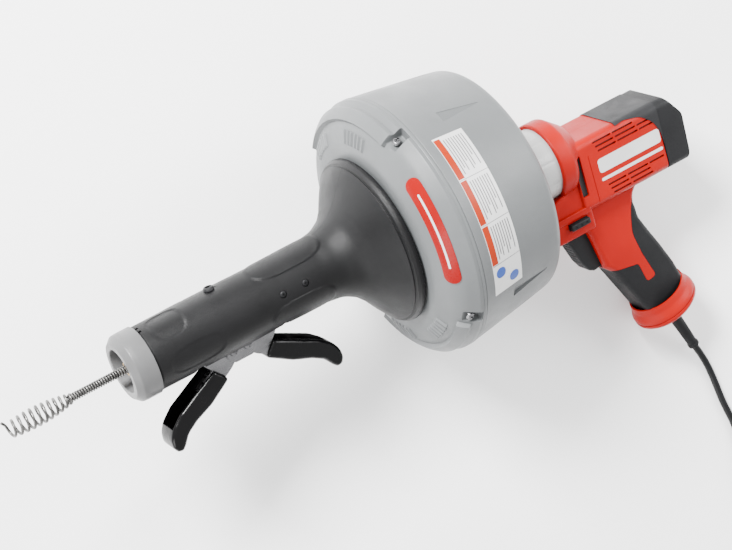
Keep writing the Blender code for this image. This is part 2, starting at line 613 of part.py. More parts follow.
def housing_halves():
    flange = [(FLANGE_X, 0.0), (FLANGE_X, 0.0375), (0.1885, FLANGE_RADIUS), (0.204, FLANGE_RADIUS),
              (0.2165, 0.0270), (0.2165, 0.0)]
    shell = barrel("housing_form", 0.0, HOUSING_FRONT_X, HOUSING_REAR_X)
    carve(shell, turned("flange_form", flange, 32, (0.0, COLLAR_Z), CUTTERS), "UNION")
    carve(shell, chin("chin_form", 0.0), "UNION")
    carve(shell, grip_solid("grip_form"), "UNION")
    shell = baked(shell)

    sheath = sleeve_zone("sleeve_relief", GAP)
    carve(sheath, grip_solid("sleeve_core", SLEEVE_THICKNESS + GAP, 0.004))
    carve(shell, baked(sheath))
    carve(shell, barrel("barrel_bore", WALL, HOUSING_FRONT_X + 0.0012, HOUSING_REAR_X + 0.01))
    carve(shell, chin("chin_bore", WALL))
    carve(shell, grip_solid("grip_bore", 2 * SLEEVE_THICKNESS + GAP, 0.006))
    collar = [(0.15, 0.0), (0.15, COLLAR_RADIUS + GAP), (COLLAR_REAR_X + GAP, COLLAR_RADIUS + GAP),
              (0.2165 - WALL, 0.0245), (0.2165 - WALL, 0.0)]
    carve(shell, turned("collar_bore", collar, 32, (0.0, COLLAR_Z), CUTTERS))
    carve(shell, box("trigger_slot", (0.18, -0.0104, -0.1335), (0.226, 0.0104, -0.0865), CUTTERS))
    carve(shell, box("direction_slot", (0.1836, -0.05, -0.0740), (0.2064, 0.05, -0.0670), CUTTERS))
    shell = baked(shell)
    for number, z in enumerate((-0.0030, -0.0095, -0.0530, -0.0595)):
        vent = box(f"vent_{number}", (0.232, -0.05, z - 0.0012), (0.300, 0.05, z + 0.0012), CUTTERS)
        carve(shell, vent)
    for number, side in enumerate((-1.0, 1.0)):
        low, high = sorted((side * 0.020, side * 0.050))
        carve(shell, box(f"side_slot_{number}", (0.2062, low, -0.050), (0.2112, high, -0.008), CUTTERS))
    shell = baked(shell)

    made = []
    for name, side in (("motor_housing_left", -1.0), ("motor_housing_right", 1.0)):
        half = twin(shell, name)
        low, high = sorted((side * 0.00015, side * 0.1))
        keep = box(f"{name}_keep", (0.10, low, -0.30), (0.40, high, 0.10), CUTTERS)
        carve(half, keep, "INTERSECT")
        if side > 0:
            for number, (x, y, z) in enumerate(HOUSING_SCREWS):
                carve(half, cylinder(f"screw_well_{number}", 0.0040, (x, y - 0.006, z), (x, y + 0.02, z),
                                     16, CUTTERS))
        made.append(half)
    bpy.data.objects.remove(shell, do_unlink=True)
    return made


HOUSING_SCREWS = ((0.1745, 0.0265, -0.060), (0.236, 0.0175, -0.078), (0.300, 0.0295, -0.059))


def rear_cap():
    section = rounded_rectangle(HOUSING_HALF_WIDTH, HOUSING_HALF_HEIGHT, HOUSING_CORNER, (0.0, MOTOR_Z))
    front = HOUSING_REAR_X + GAP
    cap = outline_solid("rear_cap", section, (CAP_REAR_X - front) / 2, "YZ", (CAP_REAR_X + front) / 2)
    slope = [(0.3200, 0.010), (0.3400, -0.012), (0.3400, 0.010)]
    boolean(cap, outline_solid("cap_slope", slope, 0.05, collection=CUTTERS))
    boolean(cap, barrel("cap_bore", WALL, front - 0.01, 0.3235))
    return cap


def grip_overmould():
    sleeve = grip_solid("overmould_form")
    boolean(sleeve, sleeve_zone("sleeve_keep", 0.0), "INTERSECT")
    boolean(sleeve, grip_solid("overmould_core", SLEEVE_THICKNESS, 0.004))
    made = baked(sleeve, "grip_overmould")
    CUTTERS.objects.unlink(made)
    return place(made, PARTS)


def grip_axis():
    """Unit vector down the grip, towards the cord."""
    return Vector((math.sin(GRIP_LEAN), 0.0, -math.cos(GRIP_LEAN)))


def grip_flare():
    bottom = FLARE_HEIGHT
    profile = [(-0.011, 0.0300), (-0.004, 0.0312), (0.001, FLARE_RADIUS - 0.0008), (0.004, FLARE_RADIUS),
               (0.010, FLARE_RADIUS), (bottom, 0.0300), (bottom, 0.0074), (bottom - 0.003, 0.0074),
               (bottom - 0.003, 0.0240), (0.0008, 0.0273), (-0.011, 0.0284)]
    flare = baked(turned("grip_flare", profile, steps=28))
    for vertex in flare.data.vertices:
        vertex.co.y *= FLARE_SQUASH
    return aim(flare, GRIP_FOOT, grip_axis())


def strain_relief():
    start = FLARE_HEIGHT - 0.0026
    end = FLARE_HEIGHT + STRAIN_RELIEF_LENGTH
    profile = [(start, 0.0), (start, 0.0064), (FLARE_HEIGHT + 0.001, 0.0064), (end - 0.004, 0.0050),
               (end - 0.004, 0.0058), (end - 0.0006, 0.0058), (end, 0.0052), (end, 0.0)]
    return aim(turned("strain_relief", profile, steps=12), GRIP_FOOT, grip_axis())


def gear_case():
    profile = [(COLLAR_FRONT_X, 0.0), (COLLAR_FRONT_X, 0.0310), (0.148, 0.0338), (0.152, COLLAR_RADIUS),
               (COLLAR_REAR_X, COLLAR_RADIUS), (COLLAR_REAR_X, 0.0313), (0.153, 0.0313), (0.153, 0.0)]
    case = turned("gear_case", profile, steps=28, centre=(0.0, COLLAR_Z))
    return boolean(case, cylinder("spindle_hole", 0.0133, (0.14, 0, 0), (0.16, 0, 0), 32, CUTTERS))


def gear_plate():
    profile = [(0.2170, 0.0268), (0.2205, 0.0268), (0.2205, 0.0093), (0.2170, 0.0093)]
    return turned("gear_plate", profile, steps=24, centre=(0.0, MOTOR_Z))


def bearing(name, front_x, rear_x, bore, outer, centre=(0.0, 0.0)):
    profile = [(front_x, outer), (rear_x, outer), (rear_x, bore), (front_x, bore)]
    return turned(name, profile, steps=12, centre=centre)


def stator():
    profile = [(0.240, 0.0270), (0.274, 0.0270), (0.274, 0.0200), (0.240, 0.0200)]
    return turned("stator", profile, steps=24, centre=(0.0, MOTOR_Z))


def armature():
    centre = (0.0, MOTOR_Z)
    shaft, core, commutator = 0.0035, 0.0190, 0.0110
    profile = [(0.2060, 0.0), (0.2060, 0.0024), (0.2150, 0.0024), (0.2150, shaft), (0.238, shaft),
               (0.238, core), (0.276, core), (0.276, shaft), (0.284, shaft), (0.284, commutator),
               (0.297, commutator), (0.297, shaft), (0.3225, shaft), (0.3225, 0.0)]
    made = turned("armature", profile, steps=16, centre=centre)
    teeth = outline_solid("pinion_form", gear_outline(MOTOR_PINION_TEETH, MODULE_FAST, centre),
                          0.0034, "YZ", 0.2100, CUTTERS)
    return boolean(made, teeth, "UNION")


def cooling_fan():
    blades = gear_outline(11, 0.0045, (0.0, MOTOR_Z), tooth_depth=0.011)
    fan = outline_solid("cooling_fan", blades, 0.003, "YZ", 0.2285)
    hole = cylinder("fan_hole", 0.0038, (0.22, 0, MOTOR_Z), (0.24, 0, MOTOR_Z), 20, CUTTERS)
    return boolean(fan, hole)


def layshaft():
    centre = (LAYSHAFT_Y, LAYSHAFT_Z)
    profile = [(0.1870, 0.0), (0.1870, 0.003), (0.2162, 0.003), (0.2162, 0.0)]
    made = turned("layshaft", profile, steps=10, centre=centre)
    big = outline_solid("lay_gear_form", gear_outline(LAY_GEAR_TEETH, MODULE_FAST, centre), 0.0032, "YZ",
                        0.2100, CUTTERS)
    small = outline_solid("lay_pinion_form", gear_outline(LAY_PINION_TEETH, MODULE_SLOW, centre), 0.0055,
                          "YZ", 0.1950, CUTTERS)
    boolean(made, big, "UNION")
    return boolean(made, small, "UNION")


def brush(name, side):
    low, high = sorted((MOTOR_Z + side * 0.0113, MOTOR_Z + side * 0.0240))
    return bevel(box(name, (0.287, -0.003, low), (0.294, 0.003, high)), 0.0006, 1)


def switch_body():
    return bevel(box("switch_body", (0.2325, -0.010, -0.124), (0.2535, 0.010, -0.092)), 0.0012, 2)


def trigger():
    outline = [(0.2160, -0.0875), (0.2190, -0.1310), (0.2085, -0.1325), (0.2030, -0.1295), (0.1975, -0.1200),
               (0.1935, -0.1080), (0.1900, -0.0970), (0.1872, -0.0875)]
    return bevel(outline_solid("trigger", outline, 0.0098), 0.0025, 3, 60.0)


def direction_bar():
    return bevel(box("direction_bar", (0.1840, -0.0325, -0.0736), (0.2060, 0.0325, -0.0674)), 0.0014, 2)


# ---- Cord, in world coordinates ---------------------------------------------------------------------
def smooth_path(route, spacing):
    """Points at even spacing along a Catmull-Rom curve through the route."""
    knots = [Vector(p) for p in route]
    ends = [knots[0] * 2 - knots[1]] + knots + [knots[-1] * 2 - knots[-2]]
    fine = []
    for a, b, c, d in zip(ends, ends[1:], ends[2:], ends[3:]):
        for step in range(24):
            t = step / 24
            fine.append(0.5 * ((2 * b) + (c - a) * t + (2 * a - 5 * b + 4 * c - d) * t * t
                               + (3 * b - a - 3 * c + d) * t * t * t))
    fine.append(knots[-1])
    total = sum((q - p).length for p, q in zip(fine, fine[1:]))
    count = max(2, round(total / spacing))
    path, walked, index = [fine[0]], 0.0, 0
    for step in range(1, count):
        target = total * step / count
        while walked + (fine[index + 1] - fine[index]).length < target:
            walked += (fine[index + 1] - fine[index]).length
            index += 1
        share = (target - walked) / (fine[index + 1] - fine[index]).length
        path.append(fine[index].lerp(fine[index + 1], share))
    path.append(fine[-1])
    return path


def cord():
    return wire("cord", smooth_path(CORD_ROUTE, 5 * CORD_RADIUS), CORD_RADIUS)


def cord_coil():
    """The outer shape of the wound turns: a flat ring lying on its tie."""
    reach = COIL_TURNS_WIDE * CORD_RADIUS
    inner, outer, height = COIL_RADIUS - reach, COIL_RADIUS + reach, 2 * COIL_LAYERS * CORD_RADIUS
    edge = CORD_RADIUS / 2
    profile = [(0.0, outer - edge), (edge, outer), (height - edge, outer), (height, outer - edge),
               (height, inner + edge), (height - edge, inner), (edge, inner), (0.0, inner + edge)]
    return aim(turned("cord_coil", profile, steps=32), (*COIL_CENTRE, COIL_BOTTOM), (0.0, 0.0, 1.0))


def coil_tie():
    """A flat band round the ring's section, on the side of the coil away from the machine."""
    height = 2 * COIL_LAYERS * CORD_RADIUS
    outer = COIL_RADIUS + COIL_TURNS_WIDE * CORD_RADIUS + GAP
    narrowest = COIL_RADIUS - COIL_TURNS_WIDE * CORD_RADIUS
    inner = math.sqrt(narrowest ** 2 - (TIE_WIDTH / 2) ** 2) - GAP
    centre = (COIL_CENTRE[1] - (outer + inner) / 2, COIL_BOTTOM + height / 2)
    half_width, half_height = (outer - inner) / 2, height / 2 + GAP
    band = rounded_rectangle(half_width + TIE_THICKNESS, half_height + TIE_THICKNESS, 0.0025, centre)
    hole = rounded_rectangle(half_width, half_height, 0.0017, centre)
    tie = outline_solid("coil_tie", band, TIE_WIDTH / 2, "YZ", COIL_CENTRE[0])
    return boolean(tie, outline_solid("tie_hole", hole, TIE_WIDTH, "YZ", COIL_CENTRE[0], CUTTERS))


def plug():
    """A moulded two-pin plug lying flat beside the coil, its tapered relief towards the coil."""
    x = COIL_CENTRE[0] + COIL_RADIUS + (COIL_TURNS_WIDE - 1) * CORD_RADIUS
    relief_y = COIL_CENTRE[1] + 0.0312
    body_y = relief_y + PLUG_RELIEF_LENGTH
    pin_y = body_y + PLUG_LENGTH
    body = box("plug", (x - PLUG_HALF_WIDTH, body_y, PLUG_AXIS_Z - PLUG_HALF_HEIGHT),
               (x + PLUG_HALF_WIDTH, pin_y, PLUG_AXIS_Z + PLUG_HALF_HEIGHT))
    bevel(body, 0.005, 3)
    relief = [(0.0, 0.0), (0.0, 0.0048), (PLUG_RELIEF_LENGTH + 0.004, 0.0068), (PLUG_RELIEF_LENGTH + 0.004, 0.0)]
    relief = aim(turned("plug_relief_form", relief, 16, collection=CUTTERS), (x, relief_y, PLUG_AXIS_Z),
                 (0.0, 1.0, 0.0))
    boolean(body, relief, "UNION")
    for number, side in enumerate((-0.5, 0.5)):
        pin_x = x + side * PIN_SPACING
        boolean(body, cylinder(f"pin_{number}", PIN_RADIUS, (pin_x, pin_y - 0.004, PLUG_AXIS_Z),
                               (pin_x, pin_y + PIN_LENGTH, PLUG_AXIS_Z), 12, CUTTERS), "UNION")
    return body


# ---- Assembly ---------------------------------------------------------------------------------------
def give(things, finish, body="root"):
    for thing in things if isinstance(things, (list, tuple)) else [things]:
        if thing.type == "MESH":
            smooth(thing)
        thing.data.materials.clear()
        thing.data.materials.append(finish)
        thing["body"] = body


def build():
    grey = material("drum_grey", (0.42, 0.43, 0.43), 0.42)
    black = material("handle_black", (0.035, 0.035, 0.037), 0.45)
    light = material("nose_grey", (0.48, 0.48, 0.48), 0.40)
    red = material("housing_red", (0.78, 0.055, 0.020), 0.35)
    rubber = material("grip_rubber", (0.045, 0.045, 0.048), 0.65)
    vinyl = material("vinyl_black", (0.008, 0.008, 0.009), 0.16)
    steel = material("steel", (0.55, 0.55, 0.56), 0.30, 1.0)
    cast = material("case_white", (0.74, 0.74, 0.73), 0.35)
    brass = material("bronze", (0.55, 0.36, 0.13), 0.35, 1.0)
    copper = material("copper", (0.60, 0.25, 0.12), 0.40, 1.0)
    carbon = material("carbon", (0.05, 0.05, 0.05), 0.7)

    give([drum_front_shell(), drum_rear_shell()], grey, "drum")
    give([inner_drum()], black, "drum")
    give([stored_cable(), drum_hub(), spindle(), *drum_screws()], steel, "drum")

    give(handle_halves(), black, "handle")
    give(nose_ring(), light, "handle")
    give([guide_bush()], brass, "handle")
    give([swivel_bearing(), roller_frame(), lever_bracket(), lever_spring()], steel, "handle")
    give([lever_pin("front_lever_pin", LEVER_PIVOT_X[0]), lever_pin("rear_lever_pin", LEVER_PIVOT_X[1])],
         steel, "handle")
    give([screw("top_screw", (-0.1586, 0.0, SNOUT_RADIUS + GAP), (0, 0, 1), 0.0050, 0.0105),
          screw("side_screw_front", (-0.1062, -SNOUT_RADIUS, 0.0067), (0, -1, 0), 0.0032, 0.0030),
          screw("side_screw_rear", (-0.0834, -SNOUT_RADIUS, 0.0067), (0, -1, 0), 0.0032, 0.0030)],
         steel, "handle")
    for end, sign in (("front", -1.0), ("rear", 1.0)):
        arm, grip = lever(end)
        give(arm, steel, f"{end}_lever")
        give(grip, vinyl, f"{end}_lever")
        pivot_x = LEVER_PIVOT_X[0 if end == "front" else 1]
        x = pivot_x + sign * ROLLER_REACH
        give(roller(f"{end}_roller", x, ROLLER_Z, -sign * ROLLER_SKEW, 0.0102), steel, f"{end}_roller")
        idler_z = CABLE_RADIUS + GAP + ROLLER_RADIUS
        give(roller(f"{end}_idler", x - sign * 0.0034, idler_z, sign * ROLLER_SKEW, 0.0156), steel,
             f"{end}_idler")
    give([drain_cable(), bulb_auger()], steel, "cable")

    give(housing_halves(), red)
    give([rear_cap(), grip_overmould(), strain_relief()], rubber)
    give(grip_flare(), red)
    give(gear_case(), cast)
    give([gear_plate(), stator()], steel)
    give([bearing("spindle_bearing", 0.1465, 0.1527, 0.0063, 0.0130),
          bearing("armature_bearing_front", 0.2160, 0.2215, 0.0038, 0.0090, (0.0, MOTOR_Z)),
          bearing("armature_bearing_rear", 0.3150, 0.3220, 0.0038, 0.0090, (0.0, MOTOR_Z))], steel)
    give([brush("brush_upper", 1.0), brush("brush_lower", -1.0)], carbon)
    give(switch_body(), black)
    give([screw(f"housing_screw_{number + 1}", (x, y - 0.0055, z), (0, 1, 0), 0.0034, 0.010)
          for number, (x, y, z) in enumerate(HOUSING_SCREWS)], steel)
    give(trigger(), rubber, "trigger")
    give(direction_bar(), rubber, "direction_bar")
    give(layshaft(), steel, "layshaft")
    give(armature(), copper, "armature")
    give(cooling_fan(), black, "armature")
    give([cord(), cord_coil(), coil_tie(), plug()], rubber, "cord")


def body_empties():
    """One empty on each body's joint, so that turning or sliding the empty moves the body."""
    idler_z = CABLE_RADIUS + GAP + ROLLER_RADIUS
    places = {
        "root": (0.25, 0.0, MOTOR_Z), "drum": (0.0, 0.0, 0.0), "handle": (-0.02, 0.0, 0.0),
        "cable": (-0.25, 0.0, 0.0), "trigger": (0.203, 0.0, -0.11), "direction_bar": (0.195, 0.0, -0.0705),
        "layshaft": (0.21, LAYSHAFT_Y, LAYSHAFT_Z), "armature": (0.257, 0.0, MOTOR_Z),
        "front_lever": (LEVER_PIVOT_X[0], 0.0, LEVER_PIVOT_Z),
        "rear_lever": (LEVER_PIVOT_X[1], 0.0, LEVER_PIVOT_Z),
        "front_roller": (LEVER_PIVOT_X[0] - ROLLER_REACH, 0.0, ROLLER_Z),
        "rear_roller": (LEVER_PIVOT_X[1] + ROLLER_REACH, 0.0, ROLLER_Z),
        "front_idler": (LEVER_PIVOT_X[0] - ROLLER_REACH + 0.0034, 0.0, idler_z),
        "rear_idler": (LEVER_PIVOT_X[1] + ROLLER_REACH - 0.0034, 0.0, idler_z),
    }
    made = {}
    for body, spot in places.items():
        empty = bpy.data.objects.new(f"axis_{body}", None)
        empty.empty_display_size = 0.02
        empty.location = spot
        empty.parent = TOOL_FRAME
        made[body] = place(empty, PARTS)
    return made


def lay_down():
    """Hangs the machine's solids on their bodies' empties, its cutters on the frame, and tips the frame."""
    empties = body_empties()
    for thing in list(PARTS.objects):
        if thing.type == "EMPTY" or thing["body"] == "cord":
            continue
        parent = empties[thing["body"]]
        thing.location = Vector(thing.location) - Vector(parent.location)
        thing.parent = parent
    for thing in list(CUTTERS.objects):
        if thing.name not in CORD_CUTTERS:
            thing.parent = TOOL_FRAME
    TOOL_FRAME.location = TOOL_PLACE
    TOOL_FRAME.rotation_euler = (LAY_OVER, NOSE_UP, 0.0)
    bpy.context.view_layer.update()


CORD_CUTTERS = ("tie_hole", "plug_relief_form", "pin_0", "pin_1")
clear_scene()
PARTS = new_collection("drum_drain_cleaner")
CUTTERS = new_collection("cutters")
TOOL_FRAME = place(bpy.data.objects.new("tool_frame", None), PARTS)
TOOL_FRAME.empty_display_size = 0.1
TOOL_FRAME["body"] = "frame"
build()
lay_down()
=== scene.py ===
import json
import math

import bmesh
import bpy
from mathutils import Matrix, Vector


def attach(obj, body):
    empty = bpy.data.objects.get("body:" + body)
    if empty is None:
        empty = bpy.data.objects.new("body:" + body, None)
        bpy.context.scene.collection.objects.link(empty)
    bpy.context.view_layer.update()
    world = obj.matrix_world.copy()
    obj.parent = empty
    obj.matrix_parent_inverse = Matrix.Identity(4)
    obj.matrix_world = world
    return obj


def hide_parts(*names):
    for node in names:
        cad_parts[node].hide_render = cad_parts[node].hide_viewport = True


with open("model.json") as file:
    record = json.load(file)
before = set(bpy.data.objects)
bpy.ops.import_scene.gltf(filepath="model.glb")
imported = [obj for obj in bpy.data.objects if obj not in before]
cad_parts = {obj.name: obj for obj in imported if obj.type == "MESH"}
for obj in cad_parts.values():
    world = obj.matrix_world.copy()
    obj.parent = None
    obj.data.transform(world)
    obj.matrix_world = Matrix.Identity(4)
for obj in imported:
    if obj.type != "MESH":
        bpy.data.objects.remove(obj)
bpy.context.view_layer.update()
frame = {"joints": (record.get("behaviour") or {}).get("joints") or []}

JOINTS = {joint["name"]: joint for joint in frame["joints"]}

# Every machine piece is drawn in the tool frame: X from nose to motor along the drum's axis, Z away from the
# grip, Y the clamshells' parting normal.  TOOL carries that frame to where the machine lies.  Metres.
DRUM_JOINT_X = 0.13


def tool_matrix():
    x_axis = Vector(JOINTS["drum_spin"]["axis"])
    y_axis = Vector(JOINTS["direction_push"]["axis"])
    turn = Matrix((x_axis, y_axis, x_axis.cross(y_axis))).transposed().to_4x4()
    turn.translation = Vector(JOINTS["drum_spin"]["pos_m"]) - x_axis * DRUM_JOINT_X
    return turn


TOOL = tool_matrix()

GAP = 0.0003
PARTING_GAP = 0.00012
CABLE_RADIUS = 0.004
CABLE_FRONT_X, CABLE_REAR_X = -0.3085, 0.022
SNOUT_RADIUS, SNOUT_BORE, SNOUT_FRONT_X = 0.0303, 0.027, -0.2337
CONE_RADIUS, CONE_RIM_X = 0.0796, 0.0045
NOSE_FRONT_X, NOSE_RADIUS = -0.257, 0.0315
LIP_RADIUS, SEAM_RADIUS, LIP_REAR_X = 0.1235, 0.1231, 0.038
NOTCH_ANGLES = (58.0, 148.0, 238.0, 328.0)
PAD_SECTORS = ((58.0, 146.0), (238.0, 326.0))
DRUM_TAPER_END_X, DRUM_REAR_X = 0.126, 0.136
COLLAR_Z, COLLAR_RADIUS = -0.010, 0.035
FLANGE_RADIUS, FLANGE_X = 0.039, 0.187
MOTOR_Z = -0.031
HOUSING_HALF_WIDTH, HOUSING_HALF_HEIGHT, HOUSING_CORNER = 0.030, 0.0345, 0.008
HOUSING_FRONT_X, HOUSING_REAR_X, CAP_REAR_X = 0.205, 0.306, 0.333
GRIP_LEAN = math.radians(19.0)
GRIP_FOOT = Vector((0.2775, 0.0, -0.198))
GRIP_HALF_LENGTH, GRIP_HALF_WIDTH, GRIP_ROUNDING = 0.024, 0.018, 0.012
SLEEVE_THICKNESS = 0.002
FLARE_RADIUS, FLARE_SQUASH, FLARE_HEIGHT = 0.0345, 0.93, 0.014
STRAIN_RELIEF_LENGTH = 0.057
LEVER_PIVOT_X, LEVER_PIVOT_Z, LEVER_PIN_RADIUS = (-0.160, -0.146), -0.027, 0.0025
LEVER_MIDDLE_X = sum(LEVER_PIVOT_X) / 2
ROLLER_REACH, ROLLER_Z, ROLLER_RADIUS, ROLLER_HALF_WIDTH = 0.028, -0.020, 0.0076, 0.005
ROLLER_SKEW = math.radians(8.0)
ARM_HALF_WIDTH, FORK_HALF_GAP, SLOT_HALF_WIDTH = 0.0105, 0.0078, 0.0148
LEVER_GRIP_HALF_WIDTH = 0.0138

CORD_RADIUS = 0.0035
CORD_ROUTE = ((0.3028, -0.1885, 0.0116), (0.3068, -0.2009, 0.0076), (0.3094, -0.2125, 0.0050),
              (0.3104, -0.2255, 0.0038), (0.3103, -0.2395, 0.0036), (0.3099, -0.2545, 0.0036),
              (0.3106, -0.2690, 0.0036), (0.3112, -0.2800, 0.0037), (0.3097, -0.3008, 0.0047))
COIL_CENTRE, COIL_BOTTOM, COIL_RADIUS = Vector((0.3557, -0.3335)), 0.0012, 0.0385
COIL_LAYERS, COIL_TURNS_WIDE = 2, 4


def link_new(name, data):
    """A new object in the scene that shows that mesh, curve, light or camera."""
    made = bpy.data.objects.new(name, data)
    bpy.context.scene.collection.objects.link(made)
    return made


# ---- Camera, light and floor ------------------------------------------------------------------------
VIEW_AZIMUTH, VIEW_ELEVATION, VIEW_ROLL = math.radians(-113.41), math.radians(23.50), math.radians(-18.18)
VIEW_DISTANCE, VIEW_LENS = 1.85, 101.87
VIEW_TARGET = Vector((-0.0164, -0.0048, -0.0252))


def make_camera():
    """The camera circles a point near the drum's face, in the tool frame."""
    outward = Vector((math.cos(VIEW_AZIMUTH) * math.cos(VIEW_ELEVATION),
                      math.sin(VIEW_AZIMUTH) * math.cos(VIEW_ELEVATION), math.sin(VIEW_ELEVATION)))
    level = Vector((0.0, 0.0, 1.0)).cross(outward).normalized()
    upright = outward.cross(level)
    right = level * math.cos(VIEW_ROLL) + upright * math.sin(VIEW_ROLL)
    up = outward.cross(right)
    place = Matrix((right, up, outward)).transposed().to_4x4()
    place.translation = VIEW_TARGET + outward * VIEW_DISTANCE
    data = bpy.data.cameras.new("camera")
    data.sensor_width = 36.0
    data.lens = VIEW_LENS
    data.clip_start, data.clip_end = 0.05, 20.0
    camera = link_new("camera", data)
    camera.matrix_world = TOOL @ place
    bpy.context.scene.camera = camera


def area_light(name, location, aim_at, size, power):
    data = bpy.data.lights.new(name, "AREA")
    data.shape = "RECTANGLE"
    data.size, data.size_y = size
    data.energy = power
    lamp = link_new(name, data)
    lamp.location = location
    lamp.rotation_euler = (Vector(aim_at) - Vector(location)).to_track_quat("-Z", "Y").to_euler()


def make_light():
    world = bpy.data.worlds.new("studio")
    bpy.context.scene.world = world
    world.use_nodes = True
    background = world.node_tree.nodes["Background"]
    background.inputs["Color"].default_value = (1.0, 1.0, 1.0, 1.0)
    background.inputs["Strength"].default_value = 1.6
    area_light("key", (-0.7, 1.5, 1.5), (0.0, 0.0, 0.1), (0.8, 0.6), 215.0)
    area_light("fill", (-1.6, -0.6, 0.9), (-0.05, 0.0, 0.12), (0.7, 1.1), 26.0)
    area_light("rim", (1.5, 0.3, 1.0), (0.1, 0.0, 0.12), (0.6, 1.1), 36.0)


def floor_shape():
    shape = bmesh.new()
    bmesh.ops.create_grid(shape, x_segments=1, y_segments=1, size=6.0)
    bmesh.ops.translate(shape, vec=(0.0, 0.0, -0.0002), verts=shape.verts)
    return shape


# ---- Materials --------------------------------------------------------------------------------------
class Finish:
    """A Principled material whose colour, roughness and bump come from small node chains."""

    def __init__(self, name, colour, roughness, metallic=0.0, coat=0.0, sheen=0.0, specular=0.5):
        self.made = bpy.data.materials.new(name)
        self.made.use_nodes = True
        self.tree = self.made.node_tree
        self.shader = self.tree.nodes["Principled BSDF"]
        self.colour = colour
        for socket, value in (("Base Color", (*colour, 1.0)), ("Roughness", roughness), ("Metallic", metallic),
                              ("Coat Weight", coat), ("Coat Roughness", 0.12), ("Sheen Weight", sheen),
                              ("Specular IOR Level", specular)):
            self.shader.inputs[socket].default_value = value
        self.coordinates = None
        self.bumps = None

    def node(self, kind, **values):
        """A new node; each value goes to the node's own setting or to its input of that name."""
        made = self.tree.nodes.new(kind)
        for key, value in values.items():
            if hasattr(made, key):
                setattr(made, key, value)
            else:
                made.inputs[key.replace("_", " ")].default_value = value
        return made

    def link(self, source, target):
        self.tree.links.new(source, target)

    def place(self, stretch=(1.0, 1.0, 1.0)):
        """Object coordinates, stretched along the axes."""
        if self.coordinates is None:
            self.coordinates = self.node("ShaderNodeTexCoord").outputs["Object"]
        mapping = self.node("ShaderNodeMapping")
        mapping.inputs["Scale"].default_value = stretch
        self.link(self.coordinates, mapping.inputs["Vector"])
        return mapping.outputs["Vector"]

    def spread(self, value, low, high, start=0.0, end=1.0):
        """Maps a value between low and high onto start to end."""
        made = self.node("ShaderNodeMapRange", From_Min=low, From_Max=high, To_Min=start, To_Max=end)
        self.link(value, made.inputs["Value"])
        return made.outputs["Result"]

    def noise(self, scale, detail=3.0, stretch=(1.0, 1.0, 1.0)):
        """Noise spread out between 0 and 1."""
        made = self.node("ShaderNodeTexNoise", Scale=scale, Detail=detail)
        self.link(self.place(stretch), made.inputs["Vector"])
        return self.spread(made.outputs["Fac"], 0.35, 0.65)

    def blend(self, tint, weight):
        """Lays tint over the colour so far, by that weight."""
        mix = self.node("ShaderNodeMix", data_type="RGBA")
        mix.inputs[6].default_value = (*self.colour, 1.0)
        mix.inputs[7].default_value = (*tint, 1.0)
        previous = self.shader.inputs["Base Color"].links
        if previous:
            self.link(previous[0].from_socket, mix.inputs[6])
        self.link(weight, mix.inputs[0])
        self.link(mix.outputs[2], self.shader.inputs["Base Color"])
        return self

    def tone(self, amount, scale, detail=3.0, stretch=(1.0, 1.0, 1.0)):
        """Mottles the colour towards a darker tone."""
        return self.blend([c * (1.0 - amount) for c in self.colour], self.noise(scale, detail, stretch))

    def gloss(self, low, high, scale, detail=4.0, stretch=(1.0, 1.0, 1.0)):
        """Lets the roughness wander between low and high."""
        wander = self.spread(self.noise(scale, detail, stretch), 0.0, 1.0, low, high)
        self.link(wander, self.shader.inputs["Roughness"])
        return self

    def bump(self, height, scale, detail=2.0, stretch=(1.0, 1.0, 1.0)):
        """Adds a bump of that height in metres; several stack up."""
        made = self.node("ShaderNodeBump", Distance=height)
        self.link(self.noise(scale, detail, stretch), made.inputs["Height"])
        if self.bumps is not None:
            self.link(self.bumps, made.inputs["Normal"])
        self.bumps = made.outputs["Normal"]
        self.link(self.bumps, self.shader.inputs["Normal"])
        return self

    def worn_edges(self, tint, amount):
        """Lighter, rubbed edges where the surface turns sharply."""
        pointiness = self.node("ShaderNodeNewGeometry").outputs["Pointiness"]
        return self.blend(tint, self.spread(pointiness, 0.53, 0.62, 0.0, amount))


